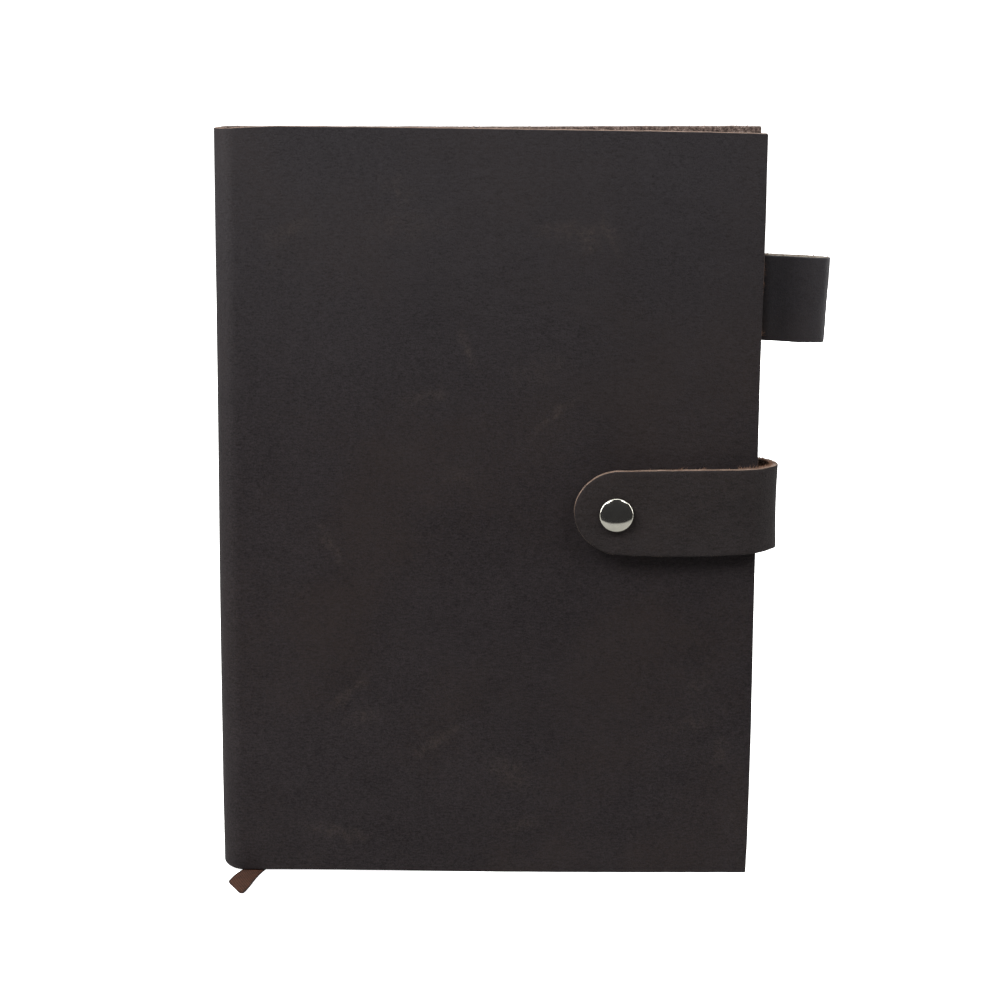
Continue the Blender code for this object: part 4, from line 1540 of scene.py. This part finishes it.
@dataclass
class Notebook:
    """The notebook in the cover: its pages and its card covers."""

    leaf_play: float = 0.00012

    def build(self, kit: Kit) -> None:
        """Give the card pieces their finish and make the page block.

        The page block is a closed box of grids whose three cut sides step in and out from
        leaf to leaf, as a seeded ripple of y.
        """
        low, high = (np.array(corner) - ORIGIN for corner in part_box("page_block"))
        steps = (36, 33, 48)
        parts, faces, slots, offset = [], [], [], 0
        for axis in range(3):
            first, second = [k for k in range(3) if k != axis]
            u = np.linspace(low[first], high[first], steps[first])
            v = np.linspace(low[second], high[second], steps[second])
            grid_u, grid_v = np.meshgrid(u, v, indexing="ij")
            for level in (low[axis], high[axis]):
                points = np.empty((*grid_u.shape, 3))
                points[..., first], points[..., second] = grid_u, grid_v
                points[..., axis] = level
                number = offset + np.arange(grid_u.size).reshape(grid_u.shape)
                quad = np.stack(
                    [number[:-1, :-1], number[1:, :-1], number[1:, 1:], number[:-1, 1:]], -1
                ).reshape(-1, 4)
                outward = (level == high[axis]) != (axis == 1)
                faces.append(quad if outward else quad[:, ::-1])
                slots.append(np.full(len(quad), int(axis == 1)))
                parts.append(points.reshape(-1, 3))
                offset += grid_u.size
        points = np.concatenate(parts)
        middle = (low + high) / 2
        out = np.sign(points - middle) * (np.abs(points - middle) > (high - low) / 2 - 1e-7)
        play = ripple(points[:, 1:2], 0.0011, 61) * self.leaf_play
        points[:, 0] -= np.where(out[:, 0] > 0, self.leaf_play + play, 0.0)
        points[:, 2] -= out[:, 2] * (self.leaf_play + play)
        block = make_object(
            "page_leaves", points, np.concatenate(faces), [kit.paper, kit.page],
            np.concatenate(slots),
        )
        weld = block.modifiers.new("Weld", "WELD")
        weld.merge_threshold = 1e-6
        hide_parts("page_block")
        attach(block, Body.BACK.value)
        for node in ("notebook_front_cover", "notebook_back_cover", "notebook_spine"):
            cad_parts[node].material_slots[0].material = kit.card
        log.info("page_leaves: page block; card covers keep their model shapes")


@dataclass(frozen=True)
class SoftBox:
    """A rectangular light: where it stands, what it points at, its size and its power."""

    name: str
    place: tuple[float, float, float]
    aim: tuple[float, float, float]
    size: tuple[float, float]
    watts: float

    def build(self) -> None:
        """Stand the light."""
        light = bpy.data.lights.new(self.name, "AREA")
        light.shape = "RECTANGLE"
        light.size, light.size_y = self.size
        light.energy = self.watts
        obj = bpy.data.objects.new(self.name, light)
        bpy.context.collection.objects.link(obj)
        obj.location = self.place
        way = Vector(self.aim) - Vector(self.place)
        obj.rotation_euler = way.to_track_quat("-Z", "Y").to_euler()


SOFT_BOXES = (
    SoftBox("left_box", (-0.44, -0.46, 0.76), (-0.06, 0, 0.20), (0.40, 0.40), 7.4),
    SoftBox("right_box", (0.62, -0.60, 0.92), (0.05, 0, 0.16), (0.40, 0.40), 5.6),
    SoftBox("right_strip", (0.60, -0.12, 0.30), (0.08, 0, 0.15), (0.12, 0.50), 1.3),
    SoftBox("back_box", (0.20, 1.05, 0.22), (0, 0, 0.11), (0.50, 0.30), 9.0),
    SoftBox("left_strip", (-0.50, -0.16, 0.34), (-0.08, 0, 0.16), (0.12, 0.50), 1.9),
)


@dataclass
class Studio:
    """A pale table under a wide soft light, and the camera."""

    eye: tuple[float, float, float] = (-0.0203, -0.8452, 0.3162)
    down: float = 13.55
    right: float = 0.962
    roll: float = 0.471
    lens: float = 107.96
    sky: float = 2.1
    sky_angle: float = 60.0
    sky_tilt: float = -10.0
    table_reach: float = 0.15
    table_half: float = 12.0
    room: Colour = (0.056, 0.056, 0.060)
    backdrop: Colour = (1.0, 1.0, 1.0)

    def build_camera(self) -> None:
        """Stand the camera: a level turn, a tilt down and a slight roll."""
        down, right, roll = (math.radians(a) for a in (self.down, self.right, self.roll))
        ahead = Vector(
            (math.sin(right) * math.cos(down), math.cos(right) * math.cos(down), -math.sin(down))
        )
        level = Vector((math.cos(right), -math.sin(right), 0.0))
        upright = level.cross(ahead)
        across = level * math.cos(roll) + upright * math.sin(roll)
        upward = upright * math.cos(roll) - level * math.sin(roll)
        camera = bpy.data.objects.new("camera", bpy.data.cameras.new("camera"))
        bpy.context.collection.objects.link(camera)
        turn = Matrix((across, upward, -ahead)).transposed().to_4x4()
        camera.matrix_world = Matrix.Translation(Vector(self.eye)) @ turn
        camera.data.lens = self.lens
        camera.data.sensor_width = 36.0
        bpy.context.scene.camera = camera
        log.info("camera: %.2f mm lens", self.lens)

    def add_table(self, drop: float, finish: StudioFloor) -> bpy.types.Object:
        """A wide plane under the book, whose near edge is close in front of it."""
        half = self.table_half
        near = -self.table_reach
        corners = [(-half, near), (half, near), (half, half), (-half, half)]
        mesh = bpy.data.meshes.new(finish.name)
        mesh.from_pydata([(x, y, -drop) for x, y in corners], [], [(0, 1, 2, 3)])
        mesh.materials.append(finish.material())
        table = bpy.data.objects.new(finish.name, mesh)
        bpy.context.collection.objects.link(table)
        return table

    def build_floor(self) -> None:
        """A white table that only the camera sees, over a greyer one that lights the book."""
        seen = self.add_table(0.00002, StudioFloor())
        seen.visible_diffuse = False
        seen.visible_glossy = False
        seen.visible_shadow = False
        bounce = self.add_table(0.0002, StudioFloor("table_bounce", (0.46, 0.46, 0.45), 0.0))
        bounce.visible_camera = False

    def build_lights(self) -> None:
        """A broad overhead light, the soft boxes and a dim room that the camera sees as white."""
        sun = bpy.data.lights.new("overhead", "SUN")
        sun.angle = math.radians(self.sky_angle)
        sun.energy = self.sky
        overhead = bpy.data.objects.new("overhead", sun)
        bpy.context.collection.objects.link(overhead)
        overhead.rotation_euler = (math.radians(self.sky_tilt), 0.0, 0.0)
        for box in SOFT_BOXES:
            box.build()

        world = bpy.data.worlds.new("room")
        bpy.context.scene.world = world
        world.use_nodes = True
        tree = world.node_tree
        seen = tree.nodes.new("ShaderNodeLightPath").outputs["Is Camera Ray"]
        mix = tree.nodes.new("ShaderNodeMix")
        mix.data_type = "RGBA"
        tree.links.new(seen, mix.inputs["Factor"])
        mix.inputs[6].default_value = (*self.room, 1.0)
        mix.inputs[7].default_value = (*self.backdrop, 1.0)
        tree.links.new(mix.outputs[2], tree.nodes["Background"].inputs["Color"])
        bpy.context.scene.view_settings.view_transform = "Standard"


def main() -> None:
    """Build everything in order."""
    logging.basicConfig(level=logging.INFO, format="%(message)s")
    studio = Studio()
    studio.build_camera()
    kit = Kit()
    Ribbon().build(kit)
    cover = Cover()
    cover.build(kit)
    cover.build_fluff(kit)
    Lining().build(kit)
    Stitching().build(kit, cover.depth, cover.width)
    Strap().build(kit)
    PenLoop().build(kit)
    Snap().build(kit)
    Notebook().build(kit)
    studio.build_floor()
    studio.build_lights()


if __name__ == "__main__":
    main()
